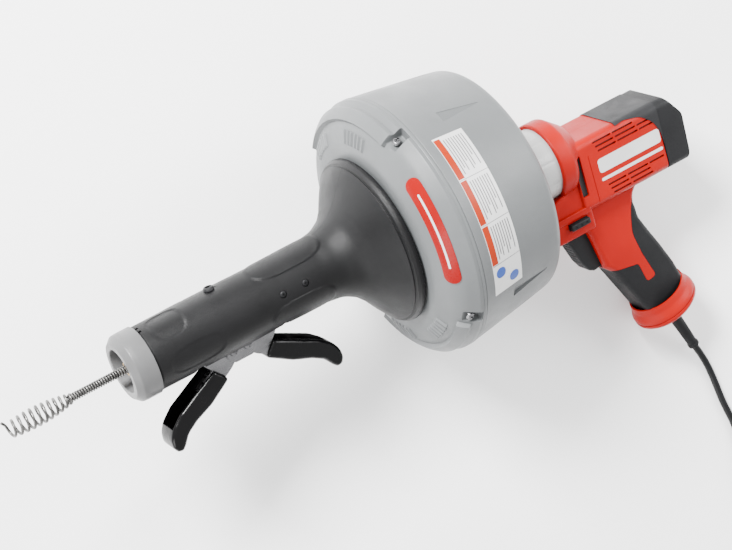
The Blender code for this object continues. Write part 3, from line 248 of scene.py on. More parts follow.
def make_finishes():
    made = {}
    made["drum"] = (Finish("drum_grey", (0.098, 0.103, 0.105), 0.38, specular=0.32)
                    .tone(0.10, 14.0, 4.0).tone(0.05, 160.0, 2.0)
                    .gloss(0.33, 0.47, 30.0).bump(0.00006, 1400.0, 3.0).bump(0.00025, 18.0, 2.0)
                    .worn_edges((0.17, 0.175, 0.178), 0.35))
    made["handle"] = (Finish("handle_black", (0.0040, 0.0040, 0.0044), 0.42, specular=0.17)
                      .tone(0.25, 22.0, 4.0).gloss(0.34, 0.50, 26.0).bump(0.00008, 1700.0, 3.0)
                      .worn_edges((0.022, 0.022, 0.023), 0.45))
    made["nose"] = (Finish("nose_grey", (0.086, 0.086, 0.087), 0.38, specular=0.3)
                    .tone(0.10, 40.0, 4.0).gloss(0.30, 0.46, 60.0).bump(0.00005, 1500.0)
                    .worn_edges((0.20, 0.20, 0.20), 0.4))
    made["red"] = (Finish("housing_red", (0.29, 0.0024, 0.0006), 0.36, specular=0.13)
                   .tone(0.14, 16.0, 3.0).gloss(0.28, 0.42, 40.0).bump(0.00007, 1500.0, 3.0)
                   .worn_edges((0.32, 0.007, 0.002), 0.35))
    made["rubber"] = (Finish("grip_rubber", (0.0072, 0.0075, 0.0083), 0.60, specular=0.16)
                      .tone(0.22, 30.0, 4.0).gloss(0.55, 0.72, 50.0).bump(0.00012, 1100.0, 4.0))
    made["cap"] = (Finish("cap_black", (0.0078, 0.0080, 0.0088), 0.48, specular=0.16)
                   .tone(0.2, 26.0, 4.0).gloss(0.40, 0.56, 40.0).bump(0.00010, 1200.0, 3.0)
                   .worn_edges((0.030, 0.030, 0.032), 0.4))
    made["vinyl"] = (Finish("lever_vinyl", (0.0014, 0.0014, 0.0016), 0.22, coat=0.03, specular=0.15)
                     .gloss(0.16, 0.28, 55.0, 3.0).bump(0.0006, 42.0, 2.0).bump(0.00003, 900.0))
    made["steel"] = (Finish("bright_steel", (0.20, 0.20, 0.206), 0.28, 1.0)
                     .tone(0.18, 70.0, 5.0).gloss(0.22, 0.42, 120.0, 5.0, (1.0, 6.0, 1.0))
                     .bump(0.00003, 900.0, 4.0, (1.0, 9.0, 1.0)))
    made["chrome"] = (Finish("roller_chrome", (0.42, 0.42, 0.44), 0.10, 1.0)
                      .gloss(0.06, 0.18, 150.0, 5.0).tone(0.12, 90.0, 4.0))
    made["cable"] = (Finish("cable_steel", (0.15, 0.147, 0.142), 0.30, 1.0)
                     .tone(0.55, 130.0, 5.0).gloss(0.22, 0.48, 260.0, 5.0).bump(0.00003, 2500.0))
    made["inner"] = (Finish("inner_steel", (0.30, 0.30, 0.31), 0.36, 1.0)
                     .tone(0.25, 60.0, 5.0).gloss(0.26, 0.46, 140.0))
    # Black plastic of the inner parts; also painted shade in the sheets behind the vents and slot and in the
    # cable's core.
    made["dark"] = (Finish("inner_black", (0.0060, 0.0060, 0.0065), 0.6)
                    .tone(0.3, 40.0, 4.0).gloss(0.5, 0.7, 60.0))
    made["white"] = (Finish("gear_case_white", (0.36, 0.36, 0.357), 0.30, coat=0.25)
                     .tone(0.06, 35.0, 4.0).gloss(0.24, 0.38, 60.0).bump(0.00010, 500.0, 3.0))
    made["bronze"] = (Finish("bronze", (0.50, 0.31, 0.12), 0.36, 1.0)
                      .tone(0.3, 120.0, 5.0).gloss(0.3, 0.5, 200.0))
    made["copper"] = (Finish("armature_copper", (0.56, 0.23, 0.11), 0.36, 1.0)
                      .tone(0.35, 90.0, 4.0, (1.0, 8.0, 1.0)).gloss(0.3, 0.5, 150.0))
    made["carbon"] = (Finish("brush_carbon", (0.04, 0.04, 0.04), 0.7)
                      .tone(0.3, 200.0, 4.0).gloss(0.6, 0.8, 90.0))
    made["cord"] = (Finish("cord_black", (0.0045, 0.0045, 0.0050), 0.40, specular=0.18)
                    .tone(0.2, 60.0, 3.0).gloss(0.30, 0.46, 90.0).bump(0.00004, 1800.0))
    made["tie"] = (Finish("tie_fabric", (0.009, 0.009, 0.010), 0.85, sheen=0.15)
                   .tone(0.4, 900.0, 2.0).bump(0.0002, 1400.0, 2.0))
    made["badge"] = (Finish("badge_red", (0.20, 0.0008, 0.0011), 0.32, specular=0.12)
                     .tone(0.1, 30.0).gloss(0.2, 0.32, 80.0))
    made["stripe"] = (Finish("stripe_white", (0.54, 0.54, 0.535), 0.35)
                      .tone(0.08, 50.0).gloss(0.28, 0.42, 80.0))
    made["label"] = Finish("label_white", (0.52, 0.52, 0.515), 0.33).tone(0.05, 40.0).gloss(0.26, 0.4, 70.0)
    made["label_orange"] = (Finish("label_orange", (0.28, 0.020, 0.002), 0.36, specular=0.15)
                            .tone(0.12, 60.0).gloss(0.26, 0.4, 70.0))
    made["label_ink"] = Finish("label_ink", (0.10, 0.10, 0.105), 0.5).tone(0.3, 300.0).gloss(0.4, 0.6, 90.0)
    made["label_blue"] = (Finish("label_blue", (0.005, 0.045, 0.26), 0.33)
                          .tone(0.15, 60.0).gloss(0.26, 0.4, 70.0))
    made["floor"] = Finish("floor_white", (0.93, 0.93, 0.93), 0.8).tone(0.02, 3.0).gloss(0.7, 0.8, 4.0)
    return {name: finish.made for name, finish in made.items()}


FINISH = make_finishes()


# ---- Shape helpers, in the tool frame ---------------------------------------------------------------
def from_bmesh(name, shape):
    mesh = bpy.data.meshes.new(name)
    shape.to_mesh(mesh)
    shape.free()
    return link_new(name, mesh)


def closed_up(name, shape):
    """A closed surface as a piece, its faces turned outwards."""
    bmesh.ops.recalc_face_normals(shape, faces=shape.faces)
    return from_bmesh(name, shape)


def bridge(shape, first, second):
    """A band of faces between two rings of vertices; a ring of one vertex is a tip."""
    count = max(len(first), len(second))
    for step in range(count):
        after = (step + 1) % count
        corners = (first[step % len(first)], first[after % len(first)],
                   second[after % len(second)], second[step % len(second)])
        corners = list(dict.fromkeys(corners))
        if len(corners) > 2:
            shape.faces.new(corners)


def cap_ends(shape, rings):
    shape.faces.new(rings[0])
    shape.faces.new(reversed(rings[-1]))


def baked(thing, *used):
    """Applies modifiers and placement, so that the mesh holds the shape, and removes the cutters used."""
    bpy.context.view_layer.update()
    mesh = bpy.data.meshes.new_from_object(thing.evaluated_get(bpy.context.evaluated_depsgraph_get()))
    mesh.transform(thing.matrix_world)
    name = thing.name
    for old in (thing, *used):
        bpy.data.objects.remove(old, do_unlink=True)
    return link_new(name, mesh)


def combine(thing, others, operation="DIFFERENCE", solver="EXACT"):
    """Cuts, joins or intersects a piece with others, which are used up."""
    for other in others:
        step = thing.modifiers.new(operation.title(), "BOOLEAN")
        step.operation, step.object, step.solver = operation, other, solver
    return baked(thing, *others)


def carve(thing, *others, operation="DIFFERENCE"):
    """The same with the solver that suits closed, overlapping solids."""
    return combine(thing, others, operation, "MANIFOLD")


def bevel(thing, width, segments=4, angle=40.0):
    step = thing.modifiers.new("Bevel", "BEVEL")
    step.width, step.segments, step.limit_method = width, segments, "ANGLE"
    step.angle_limit = math.radians(angle)
    step.harden_normals = False
    return baked(thing)


def settle(thing, body, finish, slot, *nodes, angle=32.0, tool=True):
    """Moves a finished piece to its place, gives it its finish and hands it to the frame."""
    if tool:
        thing.data.transform(TOOL)
    if thing.type == "MESH":
        thing.data.shade_smooth()
        thing.data.set_sharp_from_angle(angle=math.radians(angle))
    if not any(thing.data.materials):
        thing.data.materials.clear()
        thing.data.materials.append(FINISH[finish])
    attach(thing, body)
    if nodes:
        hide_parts(*nodes)
    return thing


def fillet(points, radius, count=5, closed=True):
    """Rounds the corners of an outline; radius is one number, or a dict of corner number to radius."""
    points = [Vector(p) for p in points]
    rounded = []
    for number, here in enumerate(points):
        reach = radius.get(number, 0.0) if isinstance(radius, dict) else radius
        if reach <= 0.0 or (not closed and number in (0, len(points) - 1)):
            rounded.append(tuple(here))
            continue
        to_before, to_after = points[number - 1] - here, points[(number + 1) % len(points)] - here
        half = to_before.angle(to_after, math.pi) / 2
        tangent = min(reach / math.tan(max(half, 0.05)), 0.48 * to_before.length, 0.48 * to_after.length)
        if tangent < 0.00002:
            rounded.append(tuple(here))
            continue
        start, end = here + to_before.normalized() * tangent, here + to_after.normalized() * tangent
        for step in range(count + 1):
            t = step / count
            rounded.append(tuple(start * (1 - t) ** 2 + here * 2 * t * (1 - t) + end * t * t))
    return rounded


def finer(profile, longest):
    """Adds points so that no stretch of an open or closed profile is longer than that."""
    out = []
    for a, b in zip(profile, profile[1:]):
        a, b = Vector(a), Vector(b)
        count = max(1, math.ceil((b - a).length / longest))
        out += [tuple(a.lerp(b, i / count)) for i in range(count)]
    return out + [tuple(profile[-1])]


def lathe(name, profile, steps=128, centre=(0.0, 0.0), change=None):
    """Turns (x, radius) points about the tool's X axis; angles run in degrees from -Y towards +Z.

    A profile that starts or ends on the axis stays open there; any other closes on itself.
    change(x, radius, angle) may shift a point.
    """
    shape = bmesh.new()
    rings = []
    for x, radius in profile:
        if radius < 1e-7:
            rings.append([shape.verts.new((x, *centre))])
            continue
        ring = []
        for angle in (360.0 * step / steps for step in range(steps)):
            at_x, at_radius = change(x, radius, angle) if change else (x, radius)
            ring.append(shape.verts.new(polar(angle, at_radius, at_x) + Vector((0.0, *centre))))
        rings.append(ring)
    for first, second in zip(rings, rings[1:]):
        bridge(shape, first, second)
    if len(rings[0]) > 1 and len(rings[-1]) > 1:
        bridge(shape, rings[-1], rings[0])
    return closed_up(name, shape)


def prism(name, outline, low, high, plane="XZ"):
    """A flat outline given thickness: XZ points from Y low to high, or YZ points from X low to high."""
    shape = bmesh.new()
    rings = []
    for level in (low, high):
        place = (lambda u, v: (u, level, v)) if plane == "XZ" else (lambda u, v: (level, u, v))
        rings.append([shape.verts.new(place(u, v)) for u, v in outline])
    cap_ends(shape, rings)
    bridge(shape, *rings)
    return closed_up(name, shape)


def pillow(name, outline, radii, half, rounding):
    """A prism along Y whose rims are rounded: the outline is moved in, then its corners are filleted."""
    shape = bmesh.new()
    turns = [math.pi / 2 * k / 7 for k in range(7, -1, -1)]
    sections = [(-half + rounding * (1 - math.sin(a)), rounding * (1 - math.cos(a))) for a in turns]
    sections += [(-y, depth) for y, depth in reversed(sections)]
    rings = []
    for y, depth in sections:
        rings.append([shape.verts.new((u, y, v)) for u, v in fillet(inset(outline, depth), radii, 6)])
    cap_ends(shape, rings)
    for first, second in zip(rings, rings[1:]):
        bridge(shape, first, second)
    return closed_up(name, shape)


def box(name, low, high):
    shape = bmesh.new()
    bmesh.ops.create_cube(shape, size=1.0)
    bmesh.ops.scale(shape, vec=[b - a for a, b in zip(low, high)], verts=shape.verts)
    bmesh.ops.translate(shape, vec=[(a + b) / 2 for a, b in zip(low, high)], verts=shape.verts)
    return from_bmesh(name, shape)


def cylinder(name, radius, start, end, sides=32):
    start, end = Vector(start), Vector(end)
    shape = bmesh.new()
    turn = Vector((0.0, 0.0, 1.0)).rotation_difference(end - start).to_matrix().to_4x4()
    bmesh.ops.create_cone(shape, cap_ends=True, segments=sides, radius1=radius, radius2=radius,
                          depth=(end - start).length, matrix=Matrix.Translation((start + end) / 2) @ turn)
    return from_bmesh(name, shape)


def arc(centre, radius, start, end, count):
    angles = [math.radians(start + (end - start) * i / (count - 1)) for i in range(count)]
    return [(centre[0] + radius * math.cos(a), centre[1] + radius * math.sin(a)) for a in angles]


def rounded_rectangle(half_u, half_v, corner, centre=(0.0, 0.0), count=9):
    points = []
    for sign_u, sign_v, start in ((1, 1, 0), (-1, 1, 90), (-1, -1, 180), (1, -1, 270)):
        middle = (centre[0] + sign_u * (half_u - corner), centre[1] + sign_v * (half_v - corner))
        points += arc(middle, corner, start, start + 90, count)
    return points


def inset(points, distance):
    """The outline moved inwards, each corner along the mean of its two sides' normals."""
    area = sum(a[0] * b[1] - b[0] * a[1] for a, b in zip(points, points[1:] + points[:1]))
    turn = 1.0 if area > 0 else -1.0
    moved = []
    for before, here, after in zip(points[-1:] + points[:-1], points, points[1:] + points[:1]):
        first = Vector((here[0] - before[0], here[1] - before[1])).normalized()
        second = Vector((after[0] - here[0], after[1] - here[1])).normalized()
        normal = Vector((-first.y - second.y, first.x + second.x)) * turn
        normal.normalize()
        reach = distance / max(0.5, normal.dot(Vector((-first.y, first.x)) * turn))
        moved.append((here[0] + normal.x * reach, here[1] + normal.y * reach))
    return moved


def polar(angle, radius, x):
    turn = math.radians(angle)
    return Vector((x, -radius * math.cos(turn), radius * math.sin(turn)))


def aim(thing, origin, direction):
    """Turns a piece drawn about the X axis so that its +X runs along direction from origin."""
    turn = Vector((1.0, 0.0, 0.0)).rotation_difference(Vector(direction)).to_matrix().to_4x4()
    thing.data.transform(Matrix.Translation(Vector(origin)) @ turn)
    return thing


def ease(value, low, high):
    """0 below low, 1 above high, smooth between."""
    t = min(1.0, max(0.0, (value - low) / (high - low)))
    return t * t * (3.0 - 2.0 * t)


def gate(value, low, high, soft):
    """1 between low and high, falling to 0 over soft on either side."""
    return ease(value, low - soft, low + soft) * (1.0 - ease(value, high - soft, high + soft))


def smooth_path(route, spacing):
    """Points at even spacing along a Catmull-Rom curve through the route."""
    knots = [Vector(p) for p in route]
    ends = [knots[0] * 2 - knots[1]] + knots + [knots[-1] * 2 - knots[-2]]
    fine = []
    for a, b, c, d in zip(ends, ends[1:], ends[2:], ends[3:]):
        for step in range(24):
            t = step / 24
            fine.append(0.5 * ((2 * b) + (c - a) * t + (2 * a - 5 * b + 4 * c - d) * t * t
                               + (3 * b - a - 3 * c + d) * t * t * t))
    fine.append(knots[-1])
    total = sum((q - p).length for p, q in zip(fine, fine[1:]))
    count = max(2, round(total / spacing))
    path, walked, index = [fine[0]], 0.0, 0
    for step in range(1, count):
        target = total * step / count
        while walked + (fine[index + 1] - fine[index]).length < target:
            walked += (fine[index + 1] - fine[index]).length
            index += 1
        a, b = fine[index], fine[index + 1]
        path.append(a.lerp(b, (target - walked) / (b - a).length))
    return path + [fine[-1]]


def wire(name, points, radius, resolution=3):
    """A round wire or cord through the points."""
    curve = bpy.data.curves.new(name, "CURVE")
    curve.dimensions = "3D"
    curve.bevel_depth = radius
    curve.bevel_resolution = resolution
    curve.use_fill_caps = True
    spline = curve.splines.new("POLY")
    spline.points.add(len(points) - 1)
    for point, place_at in zip(spline.points, points):
        point.co = (*place_at, 1.0)
    return link_new(name, curve)


def cross_recess(thing, low, high, arm, half):
    """Cuts a cross between two x into a piece drawn about the X axis."""
    return combine(thing, [box("slot_a", (low, -arm, -half), (high, arm, half)),
                           box("slot_b", (low, -half, -arm), (high, half, arm))])


def screw(name, seat, direction, head_radius, length, height=0.0024, drive="cross"):
    """A rounded screw with a cross or hex recess; direction points out of its head."""
    shank = head_radius * 0.52
    profile = [(-height, 0.0), (-height, head_radius * 0.55), (-height * 0.8, head_radius * 0.82),
               (-height * 0.42, head_radius * 0.97), (0.0, head_radius), (0.0, shank), (length, shank),
               (length, 0.0)]
    made = lathe(name, profile, 40)
    depth = (-height * 1.5, -height * 0.35)
    if drive == "cross":
        made = cross_recess(made, *depth, head_radius * 0.58, head_radius * 0.13)
    else:
        hexagon = arc((0.0, 0.0), head_radius * 0.52, 0, 300, 6)
        made = combine(made, [prism("hex", hexagon, *depth, plane="YZ")])
    return aim(made, seat, -Vector(direction))


def span(side, inner, outer):
    """Low and high Y of a slab between two distances from the parting plane, on one side of it."""
    return sorted((side * inner, side * outer))


def slab(name, outline, side, inner, outer):
    return prism(name, outline, *span(side, inner, outer))


def clamshell(name, body):
    """The left and right half of a body, a hairline apart at the parting plane."""
    halves = []
    for label, side in (("left", -1.0), ("right", 1.0)):
        half = link_new(f"{name}_{label}", body.data.copy())
        low, high = span(side, PARTING_GAP, 0.1)
        keep = box("keep", (-0.40, low, -0.30), (0.40, high, 0.10))
        halves.append(carve(half, keep, operation="INTERSECT"))
    bpy.data.objects.remove(body, do_unlink=True)
    return halves


# ---- Cord -------------------------------------------------------------------------------------------
def coil_point(turned_by, radius, height):
    """A point of the coil after that many turns from its west side, counter-clockwise from above."""
    angle = math.pi + 2 * math.pi * turned_by
    return Vector((*COIL_CENTRE, height)) + Vector((math.cos(angle), math.sin(angle), 0.0)) * radius


def coil_path():
    """Two flat layers: inwards along the floor, then back outwards on top, stepping over once a turn."""
    diameter = 2 * CORD_RADIUS
    outer = COIL_RADIUS + (COIL_TURNS_WIDE - 1) * CORD_RADIUS
    low, high = COIL_BOTTOM + CORD_RADIUS, COIL_BOTTOM + CORD_RADIUS + diameter
    steps, crossing = 36, 0.28
    points = []
    for turn in range(2 * COIL_TURNS_WIDE):
        going_in = turn < COIL_TURNS_WIDE
        lane = turn if going_in else 2 * COIL_TURNS_WIDE - 1 - turn
        last_half = turn == 2 * COIL_TURNS_WIDE - 1
        for step in range(steps // 2 + 1 if last_half else steps):
            share = step / steps
            cross = ease(share, 1.0 - crossing, 1.0)
            radius, height = outer - lane * diameter, low if going_in else high
            if turn == COIL_TURNS_WIDE - 1:
                height = low + (high - low) * cross
            elif not last_half:
                radius += (-diameter if going_in else diameter) * cross
            points.append(coil_point(turn + share, radius, height))
    return points


def cord_piece():
    """The cord from strain relief to plug as one curve, and its length."""
    run = smooth_path(CORD_ROUTE, 0.004)
    wound = coil_path()
    joined = smooth_path([run[-2], run[-1], (0.3079, -0.3120, 0.0047), (0.3070, -0.3230, 0.0047),
                          wound[0], wound[1]], 0.004)
    leaving = [wound[-1] + Vector((0.0, away, -drop)) for away, drop in
               ((0.0, 0.0), (0.010, 0.0006), (0.020, 0.0021), (0.030, 0.0032), (0.040, 0.0036))]
    path = run[:-1] + joined[1:-1] + wound[1:] + smooth_path(leaving, 0.004)[1:]
    cord = wire("cord_line", path, CORD_RADIUS, 5)
    length = sum((b - a).length for a, b in zip(path, path[1:]))
    cord.data.materials.append(FINISH["cord"])
    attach(cord, "motor_unit")
    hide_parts("cord", "cord_coil")
    return cord, length


# ---- Drum -------------------------------------------------------------------------------------------
SHOULDER = fillet([(0.0068, 0.079), (0.0068, 0.090), (0.0125, 0.1065), (0.0200, 0.1158),
                   (0.0305, SEAM_RADIUS)], {1: 0.03, 2: 0.05, 3: 0.03}, 8, closed=False)
DRUM_SIDE = [(0.0387, SEAM_RADIUS), (0.060, 0.1203), (DRUM_TAPER_END_X - 0.012, 0.1127)]
RIB_CENTRES, RIB_COUNT, RIB_PITCH = (84.0, 264.0, 127.0, 307.0), 6, 3.4
BADGE_ANGLES, BADGE_RADII = (-12.0, 41.0), (0.1015, 0.1160)
LABEL_ANGLES, LABEL_X = (-25.0, 49.7), (0.0480, 0.0800)


def between(angle, start, end):
    return (angle - start) % 360.0 <= (end - start) % 360.0


def front_shape(x, radius, angle):
    """The moulded curb inside the lip, and rows of plain ribs on the pads."""
    if x > 0.029 or radius < 0.084:
        return x, radius
    lift = 0.0
    if any(between(angle, start + 3.5, end - 3.5) for start, end in PAD_SECTORS):
        lift = 0.0042 * gate(radius, 0.1108, 0.1196, 0.0006)
        for centre in RIB_CENTRES:
            for rib in range(RIB_COUNT):
                at = centre + (rib - (RIB_COUNT - 1) / 2) * RIB_PITCH
                if abs((angle - at + 180.0) % 360.0 - 180.0) < 0.9:
                    lift += 0.0017 * gate(radius, 0.0925, 0.1045, 0.0005)
    return x - 0.8 * lift, radius + 0.55 * lift


def notch_box(name, angle, low, high, rounding):
    """A rounded box in a screw notch: low and high are x, then across and out from the notch's centre."""
    made = bevel(box(name, low, high), rounding, 3)
    turn = Matrix.Rotation(math.radians(90.0 - angle), 4, "X")
    made.data.transform(Matrix.Translation(polar(angle, 0.1205, 0.0)) @ turn)
    return made


def drum_front():
    """Neck, shoulder and lip in one shell, with a solid cup and a pocket in it at each screw notch."""
    neck = [(-0.030, 0.0217), (0.0060, 0.0217), (0.0068, 0.0235)]
    lip = fillet([(0.0305, SEAM_RADIUS), (0.0312, LIP_RADIUS), (0.0340, LIP_RADIUS), (0.0345, SEAM_RADIUS),
                  (0.0352, LIP_RADIUS), (LIP_REAR_X - 0.0002, LIP_RADIUS), (LIP_REAR_X, 0.1206)],
                 {1: 0.0006, 2: 0.0003, 5: 0.0005}, 3, closed=False)
    back = [(0.030, 0.1190), (0.021, 0.1122), (0.0145, 0.1032), (0.0110, 0.092), (0.0110, 0.0182),
            (-0.030, 0.0182)]
    profile = neck + finer(SHOULDER, 0.0006) + lip + back
    shell = lathe("drum_front", profile, 480, change=front_shape)
    solid = lathe("solid", finer(SHOULDER, 0.003) + lip[:-1] + [(LIP_REAR_X, 0.100), (0.0068, 0.079)], 120)
    cups = [notch_box("cup", angle, (0.0110, -0.0080, -0.0082), (0.0360, 0.0080, 0.006), 0.0020)
            for angle in NOTCH_ANGLES]
    pockets = [notch_box("pocket", angle, (0.0125, -0.0066, -0.0070), (0.0345, 0.0066, 0.012), 0.0016)
               for angle in NOTCH_ANGLES]
    solid = carve(solid, join("cups", cups), operation="INTERSECT")
    shell = carve(carve(shell, solid, operation="UNION"), *pockets)
    settle(shell, "drum", "drum", "drum_grey", "drum_front_shell")


def drum_rear():
    """The tapered rear shell, with a shallow wedge dent behind each screw notch."""
    shoulder = fillet([(0.1140, 0.1127), (0.1290, 0.1100), (0.1355, 0.0990), (DRUM_REAR_X, 0.086)],
                      {1: 0.012, 2: 0.012}, 10, closed=False)
    profile = ([(0.0383, 0.1229)] + DRUM_SIDE + shoulder
               + fillet([(DRUM_REAR_X, 0.060), (DRUM_REAR_X, 0.0280), (0.142, 0.0262), (0.142, 0.0124)],
                        {1: 0.003, 2: 0.002}, 5, closed=False)
               + [(0.1326, 0.0124), (0.1326, 0.092), (0.1305, 0.1015), (0.1255, 0.1076), (0.0383, 0.1201)])
    shell = lathe("drum_rear", finer(profile, 0.012), 256)
    dents = []
    for angle in NOTCH_ANGLES:
        dent = prism("dent", [(0.071, -0.0060), (0.112, -0.0004), (0.112, 0.0004), (0.071, 0.0060)],
                     -0.126, -0.1150)
        for vertex in dent.data.vertices:
            if vertex.co.y > -0.12:
                vertex.co.y = -0.1166 - vertex.co.z * 0.26 + (vertex.co.x - 0.071) * 0.098
        dent.data.transform(Matrix.Rotation(math.radians(-angle - 0.9), 4, "X"))
        dents.append(dent)
    settle(combine(shell, dents), "drum", "drum", "drum_grey", "drum_rear_shell")


def along(line, share):
    """The point at that share of an (x, radius) line's length, and the outward normal there."""
    points = [Vector(p) for p in line]
    lengths = [(b - a).length for a, b in zip(points, points[1:])]
    walk = share * sum(lengths)
    for a, b, length in zip(points, points[1:], lengths):
        if walk <= length or b is points[-1]:
            step = (b - a).normalized()
            return a.lerp(b, walk / length), Vector((-step.y, step.x))
        walk -= length


def patch(name, line, angles, lift, finish, across=8, pill=False, thickness=0.0003):
    """A thin plate on the drum over an (x, radius) line, between two angles, with square or round ends."""
    middle_radius = along(line, 0.5)[0].y
    width = sum((Vector(b) - Vector(a)).length for a, b in zip(line, line[1:]))
    end_angle = math.degrees(width / 2 / middle_radius)
    columns = max(8, round((angles[1] - angles[0]) / 0.7))
    shape = bmesh.new()
    grid = []
    for column in range(columns + 1):
        share = column / columns
        if pill:
            share = (1.0 - math.cos(math.pi * share)) / 2
        angle = angles[0] + (angles[1] - angles[0]) * share
        keep = 1.0
        if pill:
            past = 1.0 - min(angle - angles[0], angles[1] - angle, end_angle) / end_angle
            keep = math.sqrt(max(0.0009, 1.0 - past ** 2.4))
        row = []
        for step in range(across + 1):
            spot, normal = along(line, 0.5 + (step / across - 0.5) * keep)
            spot += normal * lift
            row.append(shape.verts.new(polar(angle, spot.y, spot.x)))
        grid.append(row)
    for first, second in zip(grid, grid[1:]):
        for step in range(across):
            shape.faces.new((first[step], second[step], second[step + 1], first[step + 1]))
    made = from_bmesh(name, shape)
    skin = made.modifiers.new("Skin", "SOLIDIFY")
    skin.thickness, skin.offset = thickness, 0.0
    made = baked(made)
    made.data.materials.append(FINISH[finish])
    return made


def join(name, pieces):
    """Several pieces as one mesh."""
    shape = bmesh.new()
    for piece in pieces:
        shape.from_mesh(piece.data)
    made = from_bmesh(name, shape)
    for material in pieces[0].data.materials:
        made.data.materials.append(material)
    for piece in pieces:
        bpy.data.objects.remove(piece, do_unlink=True)
    return made


def side_line(low, high):
    """A stretch of the drum's tapered side, as an (x, radius) line."""
    def radius(x):
        for (x0, r0), (x1, r1) in zip(DRUM_SIDE, DRUM_SIDE[1:]):
            if x <= x1:
                return r0 + (r1 - r0) * (x - x0) / (x1 - x0)
    return [(low + (high - low) * i / 6, radius(low + (high - low) * i / 6)) for i in range(7)]


def drum_marks():
    """A blank badge with a stripe, and a label with plain bars, rows and dots in place of any text."""
    badge_line = [p for p in SHOULDER if BADGE_RADII[0] <= p[1] <= BADGE_RADII[1]]
    badge = patch("badge", badge_line, BADGE_ANGLES, 0.0003, "badge", 10, True, 0.0009)
    settle(badge, "drum", "badge", "housing_red")
    middle = [tuple(along(badge_line, share)[0]) for share in (0.44, 0.48, 0.52, 0.56)]
    stripe = patch("badge_stripe", middle, (-4.0, 33.0), 0.00085, "stripe", 3, True, 0.0002)
    settle(stripe, "drum", "stripe", "nose_grey")

    label = patch("label", side_line(*LABEL_X), LABEL_ANGLES, 0.0001, "label", 8, thickness=0.0003)
    settle(label, "drum", "label", "gear_case_white")
    fields = ((29.5, 48.8), (9.0, 28.5), (-9.5, 8.0))
    bands = [patch("band", side_line(0.0484, 0.0548), field, 0.00034, "label_orange", 2, thickness=0.0002)
             for field in fields]
    settle(join("label_bands", bands), "drum", "label_orange", "housing_red")
    rows, lengths = [], (1.0, 0.86, 0.95, 0.72, 0.97, 0.90, 0.64, 0.92)
    for low, high in fields:
        for row, share in enumerate(lengths):
            x = 0.0569 + 0.0027 * row
            angles = (high - 1.2 - (high - low - 2.4) * share, high - 1.2)
            rows.append(patch("row", side_line(x, x + 0.0009), angles, 0.00032, "label_ink", 1, False,
                              0.0001))
    rows += [patch("rule", side_line(0.0484, 0.0796), (angle - 0.1, angle + 0.1), 0.00034, "label_ink", 3,
                   False, 0.0001) for angle in (29.0, 8.5, -10.0)]
    settle(join("label_rows", rows), "drum", "label_ink", "inner_black")
    dots = [patch("dot", side_line(x, x + 0.0105), (angle - 2.5, angle + 2.5), 0.00034, "label_blue", 4, True,
                  0.0002) for x, angle in ((0.0510, -14.5), (0.0655, -20.0))]
    settle(join("label_dots", dots), "drum", "label_blue", "inner_black")


def drum_screws():
    for number, angle in enumerate(NOTCH_ANGLES):
        name = f"drum_screw_{number + 1}"
        made = screw(name + "_detail", polar(angle, 0.1168, 0.0245), polar(angle, 1.0, 0.0), 0.0042, 0.0018)
        settle(made, "drum", "steel", "bright_steel", name)


# ---- Front handle -----------------------------------------------------------------------------------
SNOUT_PANELS = ((-0.088, 78.0, 0.036, 33.0, 0.0011), (-0.090, 330.0, 0.032, 26.0, 0.0010),
                (-0.209, 66.0, 0.016, 30.0, -0.0008), (-0.083, 160.0, 0.034, 30.0, 0.0009),
                (-0.196, 350.0, 0.026, 22.0, -0.0006), (-0.190, 150.0, 0.030, 26.0, 0.0008))
TOP_SCREW_X = -0.1586
SIDE_SCREW_X, SIDE_SCREW_Z = (-0.1062, -0.0834), 0.0067


def snout_shape(x, radius, angle):
    """Low moulded panels on the snout."""
    if radius < SNOUT_BORE + 0.001 or x > -0.040:
        return x, radius
    lift = 0.0
    for centre_x, centre_angle, half_length, half_angle, height in SNOUT_PANELS:
        u = (x - centre_x) / half_length
        v = ((angle - centre_angle + 180.0) % 360.0 - 180.0) / half_angle
        lift += height * (1.0 - ease(abs(u) ** 3 + abs(v) ** 3, 0.86, 1.06))
    return x, radius + lift


